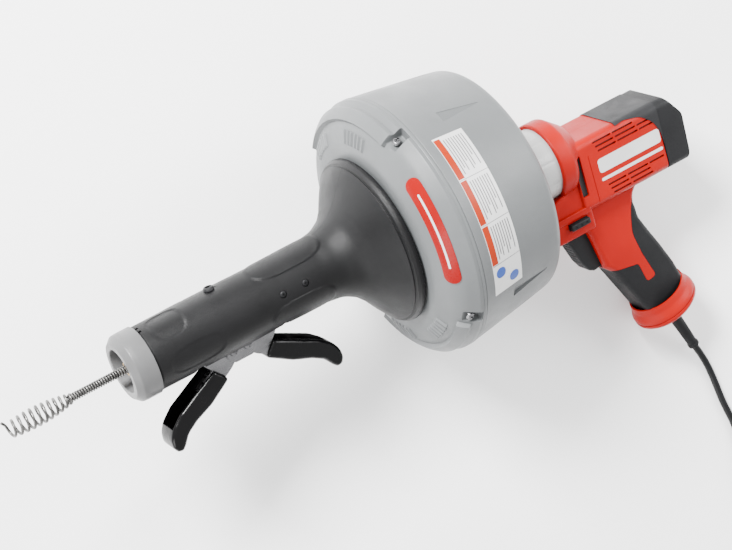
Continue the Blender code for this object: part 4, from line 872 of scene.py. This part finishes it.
def handle_halves():
    """Cone and snout as one hollow form, cut into its two halves."""
    front = fillet([(SNOUT_FRONT_X, 0.029), (-0.2322, 0.0301), (-0.2, SNOUT_RADIUS), (-0.15, SNOUT_RADIUS),
                    (-0.104, 0.0297), (-0.062, SNOUT_RADIUS), (-0.046, 0.0326), (-0.0325, 0.0398),
                    (-0.0225, 0.0505), (-0.012, 0.0655), (-0.0046, 0.0752), (-0.0036, 0.0748),
                    (-0.0026, 0.0776), (0.0, 0.0793), (0.0016, CONE_RADIUS), (0.0036, CONE_RADIUS),
                    (CONE_RIM_X, 0.0786)],
                   dict(enumerate((0.0, 0.001, 0.05, 0.05, 0.08, 0.05, 0.03, 0.03, 0.05, 0.05, 0.0006, 0.0004,
                                   0.0006, 0.0014, 0.0008, 0.0006))), 6, closed=False)
    back = [(CONE_RIM_X, 0.0763), (0.0015, 0.0752), (-0.0045, 0.0690), (-0.011, 0.0595), (-0.014, 0.055),
            (-0.014, 0.0303), (-0.026, 0.0303), (-0.0263, SNOUT_BORE), (SNOUT_FRONT_X, SNOUT_BORE)]
    body = lathe("handle_form", finer(front, 0.0016) + back, 216, change=snout_shape)
    slot = bevel(box("slot", (-0.198, -SLOT_HALF_WIDTH, -0.040), (-0.106, SLOT_HALF_WIDTH, -0.012)), 0.003, 4)
    ends = [cylinder("slot_end", 0.0052, (x, -0.0225, -0.0265), (x, 0.0225, -0.0265), 32)
            for x in (-0.1952, -0.1092)]
    boss = cylinder("screw_hole", 0.0030, (TOP_SCREW_X, 0, 0.020), (TOP_SCREW_X, 0, 0.045))
    seat = cylinder("screw_seat", 0.0068, (TOP_SCREW_X, 0, 0.0299), (TOP_SCREW_X, 0, 0.045), 48)
    notches = [box("notch", (-0.2345, y - 0.0012, 0.026), (-0.2305, y + 0.0012, 0.034))
               for y in (-0.0085, -0.0025)]
    wells = [cylinder("well", 0.0034, (x, -0.035, SIDE_SCREW_Z), (x, -0.0277, SIDE_SCREW_Z))
             for x in SIDE_SCREW_X]
    body = carve(body, slot, *ends, boss, seat, *notches, *wells)
    left, right = clamshell("handle_shell", body)
    settle(left, "handle", "handle", "handle_black", "handle_left")
    settle(right, "handle", "handle", "handle_black", "handle_right")


def handle_screws():
    seat = (TOP_SCREW_X, 0.0, SNOUT_RADIUS + 0.0002)
    top = screw("top_screw_detail", seat, (0, 0, 1), 0.0052, 0.0105, 0.0030, "hex")
    settle(top, "handle", "cap", "handle_black", "top_screw")
    for name, x in zip(("side_screw_front", "side_screw_rear"), SIDE_SCREW_X):
        made = screw(name + "_detail", (x, -0.0281, SIDE_SCREW_Z), (0, -1, 0), 0.0030, 0.0030, 0.0014)
        settle(made, "handle", "cap", "handle_black", name)


def nose_ring():
    outside = fillet([(NOSE_FRONT_X, 0.0210), (NOSE_FRONT_X, 0.0262), (-0.2516, 0.0311),
                      (-0.2470, NOSE_RADIUS), (-0.2343, NOSE_RADIUS), (-0.2340, 0.0267)],
                     {1: 0.0012, 2: 0.003, 3: 0.003, 4: 0.0004}, 6, closed=False)
    inside = fillet([(-0.2340, 0.0267), (-0.215, 0.0267), (-0.215, 0.0225), (-0.2405, 0.0225),
                     (-0.2405, 0.0084), (-0.246, 0.0084), (-0.2462, 0.0200), (-0.2562, 0.0204),
                     (NOSE_FRONT_X, 0.0210)], {5: 0.0008, 6: 0.0018}, 4, closed=False)
    ring = lathe("nose_collar", outside + inside[1:-1], 144)
    windows = []
    for side in (1.0, -1.0):
        bow = [(y, side * z) for y, z in arc((0.0, 0.0), 0.0176, 34, 146, 15)]
        outline = fillet(bow, {0: 0.0015, len(bow) - 1: 0.0015}, 4)
        windows.append(prism("window", outline, -0.249, -0.239, "YZ"))
    settle(combine(ring, windows), "handle", "nose", "nose_grey", "nose_ring")


# ---- Feed levers ------------------------------------------------------------------------------------
ARM_OUTLINE = (arc((-0.188, ROLLER_Z), 0.0060, 205, 60, 12) + [(-0.1760, -0.0175), (-0.1680, -0.0228)]
               + arc((-0.160, LEVER_PIVOT_Z), 0.0066, 75, -65, 14)
               + [(-0.1660, -0.0405), (-0.1715, -0.0440), (-0.1960, -0.0568), (-0.1990, -0.0530),
                  (-0.1790, -0.0400), (-0.1880, -0.0300)])
GRIP_TOP = [(-0.1835, -0.0345), (-0.2050, -0.0455), (-0.2250, -0.0560), (-0.2360, -0.0655),
            (-0.2410, -0.0745), (-0.2415, -0.0830), (-0.2385, -0.0880)]
GRIP_UNDER = [(-0.2335, -0.0890), (-0.2295, -0.0850), (-0.2240, -0.0770), (-0.2130, -0.0700),
              (-0.1950, -0.0625), (-0.1730, -0.0485), (-0.1755, -0.0430)]
TROUGH = [(-0.160, -0.0180), (-0.1640, -0.0408), (-0.1713, -0.0446), (-0.1962, -0.0576), (-0.2140, -0.0655),
          (-0.2265, -0.0735), (-0.2305, -0.0805), (-0.2320, -0.0700), (-0.2600, -0.0500), (-0.2600, -0.0180)]


def mirrored(points):
    return [(2 * LEVER_MIDDLE_X - x, z) for x, z in reversed(points)]


def cross_hole(x, z, radius):
    return cylinder("hole", radius, (x, -0.02, z), (x, 0.02, z), 28)


def lever_arm(end, flip, pivot_x, roller_x):
    """A steel block, forked at its upper end for the roller."""
    fork = flip([(-0.200, -0.010), (-0.150, -0.010), (-0.150, -0.036), (-0.172, -0.0385), (-0.200, -0.0385)])
    arm = prism(f"{end}_arm", flip(fillet(ARM_OUTLINE, 0.0022, 3)), -ARM_HALF_WIDTH, ARM_HALF_WIDTH)
    arm = combine(arm, [prism("fork", fillet(fork, 0.002, 4), -FORK_HALF_GAP, FORK_HALF_GAP),
                        cross_hole(pivot_x, LEVER_PIVOT_Z, LEVER_PIN_RADIUS + GAP),
                        cross_hole(roller_x, ROLLER_Z, 0.0038)])
    settle(bevel(arm, 0.0004, 2, 50.0), f"{end}_lever", "steel", "bright_steel", f"{end}_lever_arm")


def lever_grip(end, flip):
    """The dipped vinyl grip, with a trough that takes the arm."""
    radii = [0.002] + [0.02] * 5 + [0.0035, 0.0035] + [0.02] * 4 + [0.003, 0.002]
    radii = dict(enumerate(radii if end == "front" else reversed(radii)))
    grip = pillow(f"{end}_grip", flip(GRIP_TOP + GRIP_UNDER), radii, LEVER_GRIP_HALF_WIDTH, 0.0042)
    half = ARM_HALF_WIDTH + GAP
    trough = prism("trough", flip(fillet(TROUGH, {i: 0.01 for i in range(1, 8)}, 5)), -half, half)
    grip = bevel(combine(grip, [trough]), 0.0008, 3, 60.0)
    settle(grip, f"{end}_lever", "vinyl", "lever_vinyl", f"{end}_lever_grip")


def lever_roller(end, sign, roller_x):
    """A chrome roller on its own axle, a little askew to the cable."""
    edge, half = 0.0012, ROLLER_HALF_WIDTH
    profile = [(-0.0102, 0.0), (-0.0102, 0.002), (-half, 0.002),
               *fillet([(-half, 0.003), (-half, ROLLER_RADIUS), (half, ROLLER_RADIUS), (half, 0.003)],
                       {1: edge, 2: edge}, 5, False),
               (half, 0.002), (0.0102, 0.002), (0.0102, 0.0)]
    axle = (-sign * math.sin(ROLLER_SKEW), math.cos(ROLLER_SKEW), 0.0)
    roller = aim(lathe(f"{end}_wheel", profile, 64), (roller_x, 0.0, ROLLER_Z), axle)
    settle(roller, f"{end}_roller", "chrome", "roller_chrome", f"{end}_roller")


def lever_pin(end, pivot_x):
    head, reach = 0.0044, 0.0129
    profile = [(-0.0147, 0.0), (-0.0147, head * 0.6), (-0.0142, head * 0.93), (-0.0135, head), (-reach, head),
               (-reach, LEVER_PIN_RADIUS), (reach, LEVER_PIN_RADIUS), (reach, head), (0.0138, head),
               (0.0142, head * 0.85), (0.0142, 0.0)]
    pin = cross_recess(lathe(f"{end}_pin", profile, 48), -0.016, -0.0139, 0.0024, 0.0005)
    pin = aim(pin, (pivot_x, 0.0, LEVER_PIVOT_Z), (0.0, 1.0, 0.0))
    settle(pin, "handle", "steel", "bright_steel", f"{end}_lever_pin")


def levers():
    """Both feed levers; the rear one is the front one turned end for end."""
    for end, sign, pivot_x, flip in (("front", -1.0, LEVER_PIVOT_X[0], list),
                                     ("rear", 1.0, LEVER_PIVOT_X[1], mirrored)):
        roller_x = pivot_x + sign * ROLLER_REACH
        lever_arm(end, flip, pivot_x, roller_x)
        lever_grip(end, flip)
        lever_roller(end, sign, roller_x)
        lever_pin(end, pivot_x)


def lever_bracket():
    outline = fillet([(-0.1677, -0.0170), (-0.1383, -0.0170), (-0.1383, -0.0310), (-0.1440, -0.0375),
                      (-0.1620, -0.0375), (-0.1677, -0.0310)], {2: 0.003, 3: 0.003, 4: 0.003, 5: 0.003}, 5)
    bracket = prism("bracket", outline, -0.0126, 0.0126)
    cuts = [box("channel", (-0.18, -0.0108, -0.05), (-0.13, 0.0108, -0.0182))]
    cuts += [cross_hole(x, LEVER_PIVOT_Z, LEVER_PIN_RADIUS + GAP) for x in LEVER_PIVOT_X]
    bracket = bevel(combine(bracket, cuts), 0.00035, 2, 50.0)
    settle(bracket, "handle", "steel", "bright_steel", "lever_bracket")


# ---- Cable ------------------------------------------------------------------------------------------
def helix(turns, per_turn, place):
    """Points winding round the X axis; place(share) gives x and radius along the way."""
    points = []
    for step in range(turns * per_turn + 1):
        angle = 2 * math.pi * step / per_turn
        x, radius = place(step / (turns * per_turn))
        points.append(Vector((x, radius * math.cos(angle), radius * math.sin(angle))))
    return points


def wound_cable():
    """The cable's outer winding as a helix over a dark core, painted shade inside the hollow coil."""
    pitch, winding, inset_x = 0.00235, 0.00092, 0.0009
    length = CABLE_REAR_X - CABLE_FRONT_X
    points = helix(round(length / pitch), 14, lambda share: (
        CABLE_FRONT_X + inset_x + (length - 2 * inset_x) * share, CABLE_RADIUS - winding))
    settle(baked(wire("cable_winding", points, winding, 2)), "cable", "cable", "cable_steel", "drain_cable",
           angle=60.0)
    front, rear = CABLE_FRONT_X + 0.0005, CABLE_REAR_X - 0.0005
    # A black core under the winding: painted shade seen through the gaps between the turns.
    core = lathe("cable_shade_core", [(front, 0.0), (front, 0.0024), (rear, 0.0024), (rear, 0.0)], 24)
    settle(core, "cable", "dark", "cable_steel")


def bulb():
    """An open coil that swells from the cable to the bulb and ends in a short outward hook."""
    rear_x, front_x = -0.3052, -0.3640
    points = helix(11, 28, lambda share: (
        rear_x + (front_x - rear_x) * share ** 1.12,
        0.0022 + 0.0058 * math.sin(math.pi * (0.06 + 0.70 * share))))
    hook = [(front_x - 0.0006, 0.0060, 0.0026), (front_x - 0.0018, 0.0048, 0.0050),
            (front_x - 0.0034, 0.0040, 0.0074)]
    points += smooth_path([points[-1], *hook], 0.0006)[1:]
    coil = baked(wire("bulb_coil", points, 0.00125, 3))
    settle(coil, "cable", "cable", "cable_steel", "bulb_auger", angle=60.0)


# ---- Motor unit -------------------------------------------------------------------------------------
VENT_LENGTHS = (0.0215, 0.0245, 0.0180)
HOUSING_SCREWS = ((0.1745, 0.0265, -0.060), (0.236, 0.0175, -0.078), (0.300, 0.0295, -0.059))
VENT_ROWS_UPPER, VENT_ROWS_LOWER = (-0.0030, -0.0078, -0.0126), (-0.0486, -0.0534, -0.0582)
STRIPE_Z = ((-0.0345, -0.0205), (-0.0425, -0.0395))
HOUSING_WALL = 0.0025


def grip_point(along_section, down):
    x = GRIP_FOOT.x + along_section * math.cos(GRIP_LEAN) + down * math.sin(GRIP_LEAN)
    z = GRIP_FOOT.z + along_section * math.sin(GRIP_LEAN) - down * math.cos(GRIP_LEAN)
    return x, z


def grip_outline(inward=0.0, foot=0.0):
    """Side view of the grip, moved inwards, with its foot moved down."""
    back = [(0.2925, -0.162), (0.283, -0.138), (0.2725, -0.114), (0.2668, -0.100)]
    crotch = arc((0.2835, -0.0845), 0.0180, 200, 105, 5)
    front = [(0.207, -0.050), (0.207, -0.084), (0.211, -0.100), (0.217, -0.133), (0.226, -0.142)]
    points = front + [grip_point(-GRIP_HALF_LENGTH, 0.0), grip_point(GRIP_HALF_LENGTH, 0.0)]
    points += back + crotch + [(0.290, -0.060), (0.290, -0.050)]
    if inward > 0.0:
        points = inset(points, inward)
        points[5] = grip_point(-GRIP_HALF_LENGTH + inward, foot)
        points[6] = grip_point(GRIP_HALF_LENGTH - inward, foot)
    soft = {1: 0.01, 2: 0.03, 3: 0.006, 4: 0.02, 7: 0.08, 8: 0.08, 9: 0.05, 10: 0.02, 11: 0.01, 12: 0.01,
            13: 0.01, 14: 0.01, 15: 0.01}
    return fillet(points, soft, 4)


def grip_solid(name, inward=0.0, foot=0.0):
    half = GRIP_HALF_WIDTH - inward
    return bevel(prism(name, grip_outline(inward, foot), -half, half), GRIP_ROUNDING - inward, 8, 60.0)


def sleeve_zone(name, grow):
    """Prism over the side view of the rubber: a lower sleeve and a strip up the grip's back."""
    zone = [(0.200, -0.1345), (0.2515, -0.1440), (0.2565, -0.1660), (0.2680, -0.1640), (0.2590, -0.1360),
            (0.2540, -0.1120), (0.2572, -0.0960), (0.2602, -0.0860), (0.2650, -0.0770), (0.2740, -0.0700),
            (0.300, -0.0700), (0.335, -0.190), (0.300, -0.230), (0.220, -0.230)]
    radii = (0.0, 0.0035, 0.004, 0.004, 0.03, 0.03, 0.03, 0.02, 0.02, 0.01, 0.0, 0.0, 0.0, 0.0)
    return prism(name, inset(fillet(zone, dict(enumerate(radii)), 5), -grow), -0.04, 0.04)


def barrel(name, inward, front_x, rear_x):
    section = rounded_rectangle(HOUSING_HALF_WIDTH - inward, HOUSING_HALF_HEIGHT - inward,
                                HOUSING_CORNER - inward, (0.0, MOTOR_Z), 11)
    return prism(name, section, front_x, rear_x, "YZ")


def chin(name, inward):
    outline = [(0.166, -0.0455), (0.214, -0.0300), (0.214, -0.0840), (0.171, -0.0840), (0.166, -0.0790)]
    half = 0.027 - inward
    solid = prism(name, fillet(inset(outline, inward), {0: 0.004, 3: 0.004, 4: 0.004}, 5), -half, half)
    return bevel(solid, 0.006 - inward, 6, 60.0)


def cap_zone(name):
    """Prism over the side view of the rear cap: its rear end and a tongue forward along the crown."""
    zone = [(0.2590, 0.0100), (0.2590, 0.0012), (0.2700, 0.0022), (0.2860, -0.0010), (0.2985, -0.0110),
            (0.3045, -0.0250), (0.3062, -0.0400), (0.3062, -0.0720), (0.3500, -0.0720), (0.3500, 0.0100)]
    return prism(name, fillet(zone, {2: 0.02, 3: 0.02, 4: 0.03, 5: 0.03, 6: 0.02}, 6), -0.05, 0.05)


def housing_form():
    """The outside of the housing: barrel, flange round the gear case, chin, grip and a ledge on each side."""
    flange = fillet([(FLANGE_X, 0.0), (FLANGE_X, 0.0378), (0.1883, FLANGE_RADIUS), (0.202, FLANGE_RADIUS),
                     (0.2165, 0.0270), (0.2165, 0.0)], {1: 0.0008, 2: 0.0008, 3: 0.006}, 5, False)
    shell = bevel(barrel("housing_form", 0.0, HOUSING_FRONT_X, HOUSING_REAR_X), 0.0022, 4, 60.0)
    ledge = bevel(box("ledge", (0.1715, -0.0296, -0.0648), (0.2110, 0.0296, -0.0585)), 0.0012, 4)
    return carve(shell, lathe("flange_form", flange, 128, (0.0, COLLAR_Z)), chin("chin_form", 0.0),
                 grip_solid("grip_form"), ledge, operation="UNION")


def housing_hollows():
    """The room inside the housing, and the relief under the rubber."""
    core = grip_solid("sleeve_core", SLEEVE_THICKNESS + GAP, 0.004)
    sheath = carve(sleeve_zone("sleeve_relief", GAP), core)
    collar = [(0.15, 0.0), (0.15, COLLAR_RADIUS + GAP), (0.204 + GAP, COLLAR_RADIUS + GAP),
              (0.2165 - HOUSING_WALL, 0.0245), (0.2165 - HOUSING_WALL, 0.0)]
    return [sheath, barrel("barrel_bore", HOUSING_WALL, HOUSING_FRONT_X + 0.0012, HOUSING_REAR_X + 0.01),
            chin("chin_bore", HOUSING_WALL), grip_solid("grip_bore", 2 * SLEEVE_THICKNESS + GAP, 0.006),
            lathe("collar_bore", collar, 96, (0.0, COLLAR_Z))]


def side_cuts(side):
    """Rows of vents, the panel's front edge and the tall slot, all on one side of the housing."""
    face = HOUSING_HALF_WIDTH
    cuts = []
    for row, z in enumerate(VENT_ROWS_UPPER + VENT_ROWS_LOWER):
        first = 0.2300 + 0.0018 * row
        for length in VENT_LENGTHS:
            if first + length > (0.2935 if row == 0 else 0.3035):
                continue
            vent = rounded_rectangle(length / 2, 0.0010, 0.0009, (first + length / 2, z), 4)
            cuts.append(slab("vent", vent, side, face - 0.0032, face + 0.02))
            first += length + 0.0016
    edge = [(0.2215, -0.0125), (0.2222, -0.0125), (0.2222, -0.0600), (0.2215, -0.0600)]
    slot = rounded_rectangle(0.0034, 0.0205, 0.0012, (0.2094, -0.0285), 5)
    return cuts + [slab("panel_edge", edge, side, face - 0.0006, face + 0.02),
                   slab("side_slot", slot, side, 0.0215, 0.050)]


def housing_halves():
    """The red motor housing, cut into its two halves, with screw wells in the right one."""
    shell = carve(housing_form(), *housing_hollows())
    shell = carve(shell, box("trigger_slot", (0.18, -0.0104, -0.1335), (0.226, 0.0104, -0.0865)),
                  box("direction_slot", (0.1836, -0.05, -0.0740), (0.2064, 0.05, -0.0670)),
                  *side_cuts(-1.0), *side_cuts(1.0))
    left, right = clamshell("housing", shell)
    right = carve(right, *[cylinder("well", 0.0040, (x, y - 0.006, z), (x, y + 0.02, z))
                           for x, y, z in HOUSING_SCREWS])
    settle(left, "motor_unit", "red", "housing_red", "motor_housing_left")
    settle(right, "motor_unit", "red", "housing_red", "motor_housing_right")


def side_plates():
    """A plain pale stripe over each side panel, where the machine carries its name, and dark sheets behind the
    vents and in the slot, painted shade.
    """
    for name, side in (("left", -1.0), ("right", 1.0)):
        for number, (bottom, top) in enumerate(STRIPE_Z):
            half = (top - bottom) / 2
            middle = (0.2665, (bottom + top) / 2)
            outline = rounded_rectangle(0.0365, half, min(half * 0.95, 0.003), middle, 6)
            stripe = slab(f"side_stripe_{name}_{number + 1}", outline, side, HOUSING_HALF_WIDTH - 0.0003,
                          HOUSING_HALF_WIDTH + 0.00025)
            settle(stripe, "motor_unit", "stripe", "nose_grey")
        # Dark sheets just inside the vents and the tall slot: painted shade for the openings.
        for kind, (front, rear), (bottom, top), reach in (
                ("vent", (0.2270, 0.3040), (-0.0600, -0.0012), (0.02705, 0.02745)),
                ("slot", (0.2056, 0.2132), (-0.0496, -0.0076), (0.0222, 0.0270))):
            low, high = span(side, *reach)
            shade_sheet = box(f"{kind}_liner_{name}", (front, low, bottom), (rear, high, top))
            settle(shade_sheet, "motor_unit", "dark", "inner_black")


def rear_cap():
    """The CAD's rear cap, with its tongue laid over the crown as a separate dark skin."""
    front = HOUSING_REAR_X + GAP
    cap = barrel("rear_cap_detail", 0.0, front, CAP_REAR_X + 0.002)
    side_view = fillet([(front - 0.002, 0.010), (front - 0.002, -0.080), (CAP_REAR_X - 0.006, -0.080),
                        (CAP_REAR_X - 0.0015, -0.056), (CAP_REAR_X, -0.018), (0.318, 0.004), (0.310, 0.010)],
                       {3: 0.030, 4: 0.012, 5: 0.020}, 9)
    cap = carve(cap, prism("cap_form", side_view, -0.05, 0.05), operation="INTERSECT")
    cap = bevel(cap, 0.0024, 5, 42.0)
    cap = combine(cap, [barrel("cap_bore", HOUSING_WALL, front - 0.01, 0.3235)])
    grooves = [prism("groove", rounded_rectangle(0.0215, 0.0007, 0.0006, (0.0, z), 3), 0.3318, 0.3400, "YZ")
               for z in (-0.022, -0.0265, -0.031, -0.0355, -0.040, -0.0445)]
    settle(combine(cap, grooves), "motor_unit", "cap", "cap_black", "rear_cap")

    skin = carve(barrel("cap_tongue", -0.0007, 0.2590, front - 0.00015),
                 barrel("tongue_core", 0.00005, 0.250, 0.320))
    skin = carve(skin, cap_zone("zone"), operation="INTERSECT")
    settle(skin, "motor_unit", "cap", "cap_black")


def grip_overmould():
    sleeve = carve(grip_solid("overmould"), sleeve_zone("keep", 0.0), operation="INTERSECT")
    sleeve = carve(sleeve, grip_solid("overmould_core", SLEEVE_THICKNESS, 0.004))
    settle(sleeve, "motor_unit", "rubber", "grip_rubber", "grip_overmould", angle=40.0)


def grip_axis():
    return Vector((math.sin(GRIP_LEAN), 0.0, -math.cos(GRIP_LEAN)))


def grip_flare():
    bottom = FLARE_HEIGHT
    groove = FLARE_RADIUS - 0.0009
    outside = fillet([(-0.011, 0.0300), (-0.004, 0.0312), (0.001, FLARE_RADIUS - 0.0008),
                      (0.0035, FLARE_RADIUS), (0.0052, FLARE_RADIUS), (0.0056, groove), (0.0066, groove),
                      (0.0070, FLARE_RADIUS), (0.0098, FLARE_RADIUS), (bottom, 0.0300), (bottom, 0.0110),
                      (bottom - 0.0008, 0.0104), (bottom, 0.0098), (bottom, 0.0074)],
                     {1: 0.01, 2: 0.006, 3: 0.004, 8: 0.003, 9: 0.004}, 6, False)
    inside = [(bottom - 0.003, 0.0074), (bottom - 0.003, 0.0240), (0.0008, 0.0273), (-0.011, 0.0284)]
    flare = lathe("flare", outside + inside, 160)
    for vertex in flare.data.vertices:
        vertex.co.y *= FLARE_SQUASH
    settle(aim(flare, GRIP_FOOT, grip_axis()), "motor_unit", "red", "housing_red", "grip_flare")


def strain_relief():
    foot = FLARE_HEIGHT
    start, end = foot - 0.0026, foot + STRAIN_RELIEF_LENGTH
    profile = [(start, 0.0), (start, 0.0064), (foot + 0.001, 0.0064), (foot + 0.006, 0.0063),
               (foot + 0.0064, 0.0060), (foot + 0.0072, 0.0060), (foot + 0.0076, 0.0062)]
    profile += fillet([(end - 0.0042, 0.0050), (end - 0.0036, 0.0058), (end - 0.0006, 0.0058), (end, 0.0052),
                       (end, 0.0037), (end - 0.0010, 0.0036)], {1: 0.0005, 2: 0.0008, 3: 0.0006}, 4, False)
    profile += [(end - 0.0010, 0.0)]
    relief = aim(lathe("relief", profile, 56), GRIP_FOOT, grip_axis())
    settle(relief, "motor_unit", "rubber", "grip_rubber", "strain_relief")


def rib_shape(x, radius, angle):
    """Ten shallow grooves along the gear case."""
    if radius < 0.034 or not 0.156 < x < 0.186:
        return x, radius
    return x, radius - 0.0005 * gate(angle % 36.0, 16.5, 19.5, 0.4)


def gear_case():
    profile = fillet([(0.146, 0.0), (0.146, 0.0305), (0.1490, 0.0342), (0.1540, COLLAR_RADIUS),
                      (0.204, COLLAR_RADIUS), (0.204, 0.0313), (0.153, 0.0313), (0.153, 0.0)],
                     {1: 0.003, 2: 0.004, 3: 0.004}, 6, False)
    profile = finer(profile[:-3], 0.002) + profile[-3:]
    case = lathe("gear_case_detail", profile, 240, (0.0, COLLAR_Z), rib_shape)
    case = combine(case, [cylinder("spindle_hole", 0.0133, (0.14, 0, 0), (0.16, 0, 0), 64)])
    settle(case, "motor_unit", "white", "gear_case_white", "gear_case")


def trigger():
    outline = [(0.2160, -0.0875), (0.2190, -0.1310), (0.2085, -0.1325), (0.2030, -0.1295), (0.1975, -0.1200),
               (0.1935, -0.1080), (0.1900, -0.0970), (0.1872, -0.0875)]
    side_view = fillet(outline, {2: 0.003, 3: 0.006, 4: 0.03, 5: 0.03, 6: 0.03}, 6)
    made = bevel(prism("trigger_detail", side_view, -0.0098, 0.0098), 0.0025, 5, 55.0)
    front = smooth_path([(x, 0.0, z) for x, z in outline[:-6:-1]], 0.0040)
    grooves = [cylinder("groove", 0.0007, (x - 0.0002, -0.0068, z), (x - 0.0002, 0.0068, z), 16)
               for x, _, z in front[1:9]]
    settle(combine(made, grooves), "trigger", "cap", "grip_rubber", "trigger")


def direction_bar():
    made = bevel(box("direction_bar_detail", (0.184, -0.0325, -0.0736), (0.206, 0.0325, -0.0674)), 0.0014, 4)
    dimples = [cylinder("dimple", 0.0012, (x, side * 0.0320, -0.0705), (x, side * 0.034, -0.0705), 16)
               for side in (-1.0, 1.0) for x in (0.189, 0.195, 0.201)]
    settle(combine(made, dimples), "direction_bar", "cap", "grip_rubber", "direction_bar")


def housing_screws():
    for number, (x, y, z) in enumerate(HOUSING_SCREWS):
        name = f"housing_screw_{number + 1}"
        made = screw(name + "_detail", (x, y - 0.0055, z), (0, 1, 0), 0.0034, 0.010)
        settle(made, "motor_unit", "steel", "bright_steel", name)


# ---- Coil tie and plug, in world coordinates --------------------------------------------------------
def coil_tie():
    width, thickness, height = 0.012, 0.0008, 2 * COIL_LAYERS * CORD_RADIUS
    outer = COIL_RADIUS + COIL_TURNS_WIDE * CORD_RADIUS + GAP
    narrowest = COIL_RADIUS - COIL_TURNS_WIDE * CORD_RADIUS
    inner = math.sqrt(narrowest ** 2 - (width / 2) ** 2) - GAP
    centre = (COIL_CENTRE.y - (outer + inner) / 2, COIL_BOTTOM + height / 2)
    half_width, half_height = (outer - inner) / 2, height / 2 + GAP
    low, high = COIL_CENTRE.x - width / 2, COIL_CENTRE.x + width / 2
    band = rounded_rectangle(half_width + thickness, half_height + thickness, 0.0025, centre)
    hole = rounded_rectangle(half_width, half_height, 0.0017, centre)
    tie = prism("coil_tie_detail", band, low, high, "YZ")
    tie = combine(tie, [prism("hole", hole, low - 0.01, high + 0.01, "YZ")])
    return settle(bevel(tie, 0.0002, 2, 60.0), "motor_unit", "tie", "tie_fabric", "coil_tie", tool=False)


def plug_relief(x, y, z):
    """The ribbed sleeve that leads the cord into the plug, along +Y."""
    length, neck, mouth = 0.030, 0.0048, 0.0068
    profile = [(0.0, 0.0), (0.0, 0.0042), (0.0005, neck)]
    for ring in range(6):
        at = 0.0032 + 0.0038 * ring
        radius = neck + (mouth - neck) * at / length
        profile += [(at, radius), (at + 0.0003, radius - 0.0006), (at + 0.0013, radius - 0.0006),
                    (at + 0.0016, radius)]
    profile += [(length, mouth), (length, 0.0)]
    return aim(lathe("plug_relief", profile, 48), (x, y, z), (0.0, 1.0, 0.0))


def plug():
    x = COIL_CENTRE.x + COIL_RADIUS + (COIL_TURNS_WIDE - 1) * CORD_RADIUS
    relief_y = COIL_CENTRE.y + 0.0312
    body_y, pin_y, axis_z = relief_y + 0.026, relief_y + 0.026 + 0.042, 0.0083
    half_width, half_height = 0.0175, 0.008
    body = bevel(box("plug_detail", (x - half_width, body_y, axis_z - half_height),
                     (x + half_width, pin_y, axis_z + half_height)), 0.005, 8)
    top = axis_z + half_height
    grooves = [box("groove", (x - 0.011, body_y + 0.010 + 0.004 * k, top - 0.0006),
                   (x + 0.011, body_y + 0.0115 + 0.004 * k, top + 0.01)) for k in range(5)]
    body = combine(combine(body, grooves), [plug_relief(x, relief_y, axis_z)], "UNION")
    pin = [(-0.003, 0.0), (-0.003, 0.0024), (0.0165, 0.0024), (0.0185, 0.0017), (0.019, 0.0008), (0.019, 0.0)]
    for label, away in (("a", -0.0095), ("b", 0.0095)):
        made = aim(lathe(f"plug_pin_{label}", pin, 32), (x + away, pin_y, axis_z), (0.0, 1.0, 0.0))
        settle(made, "motor_unit", "chrome", "cord_black", tool=False)
    return settle(body, "motor_unit", "cord", "cord_black", "plug", tool=False)


# ---- Inner pieces kept from the CAD -----------------------------------------------------------------
KEPT = {
    "dark": ("inner_drum", "switch_body", "cooling_fan"),
    "inner": ("drum_hub", "spindle", "swivel_bearing", "roller_frame", "gear_plate", "spindle_bearing",
              "armature_bearing_front", "armature_bearing_rear", "layshaft", "stator"),
    "cable": ("stored_cable", "lever_spring"),
    "chrome": ("front_idler", "rear_idler"),
    "bronze": ("guide_bush",),
    "carbon": ("brush_upper", "brush_lower"),
    "copper": ("armature",),
}


def finish_kept():
    for finish, nodes in KEPT.items():
        for name in nodes:
            for holder in bpy.data.objects[name].material_slots:
                holder.material = FINISH[finish]


# ---- Build ------------------------------------------------------------------------------------------
cord_line, cord_length = cord_piece()
make_camera()
make_light()
floor = from_bmesh("floor", floor_shape())
floor.data.materials.append(FINISH["floor"])

drum_front()
drum_rear()
drum_screws()
drum_marks()
handle_halves()
handle_screws()
nose_ring()
lever_bracket()
levers()
wound_cable()
bulb()
housing_halves()
side_plates()
rear_cap()
grip_overmould()
grip_flare()
strain_relief()
gear_case()
trigger()
direction_bar()
housing_screws()
tie = coil_tie()
plug_body = plug()
finish_kept()
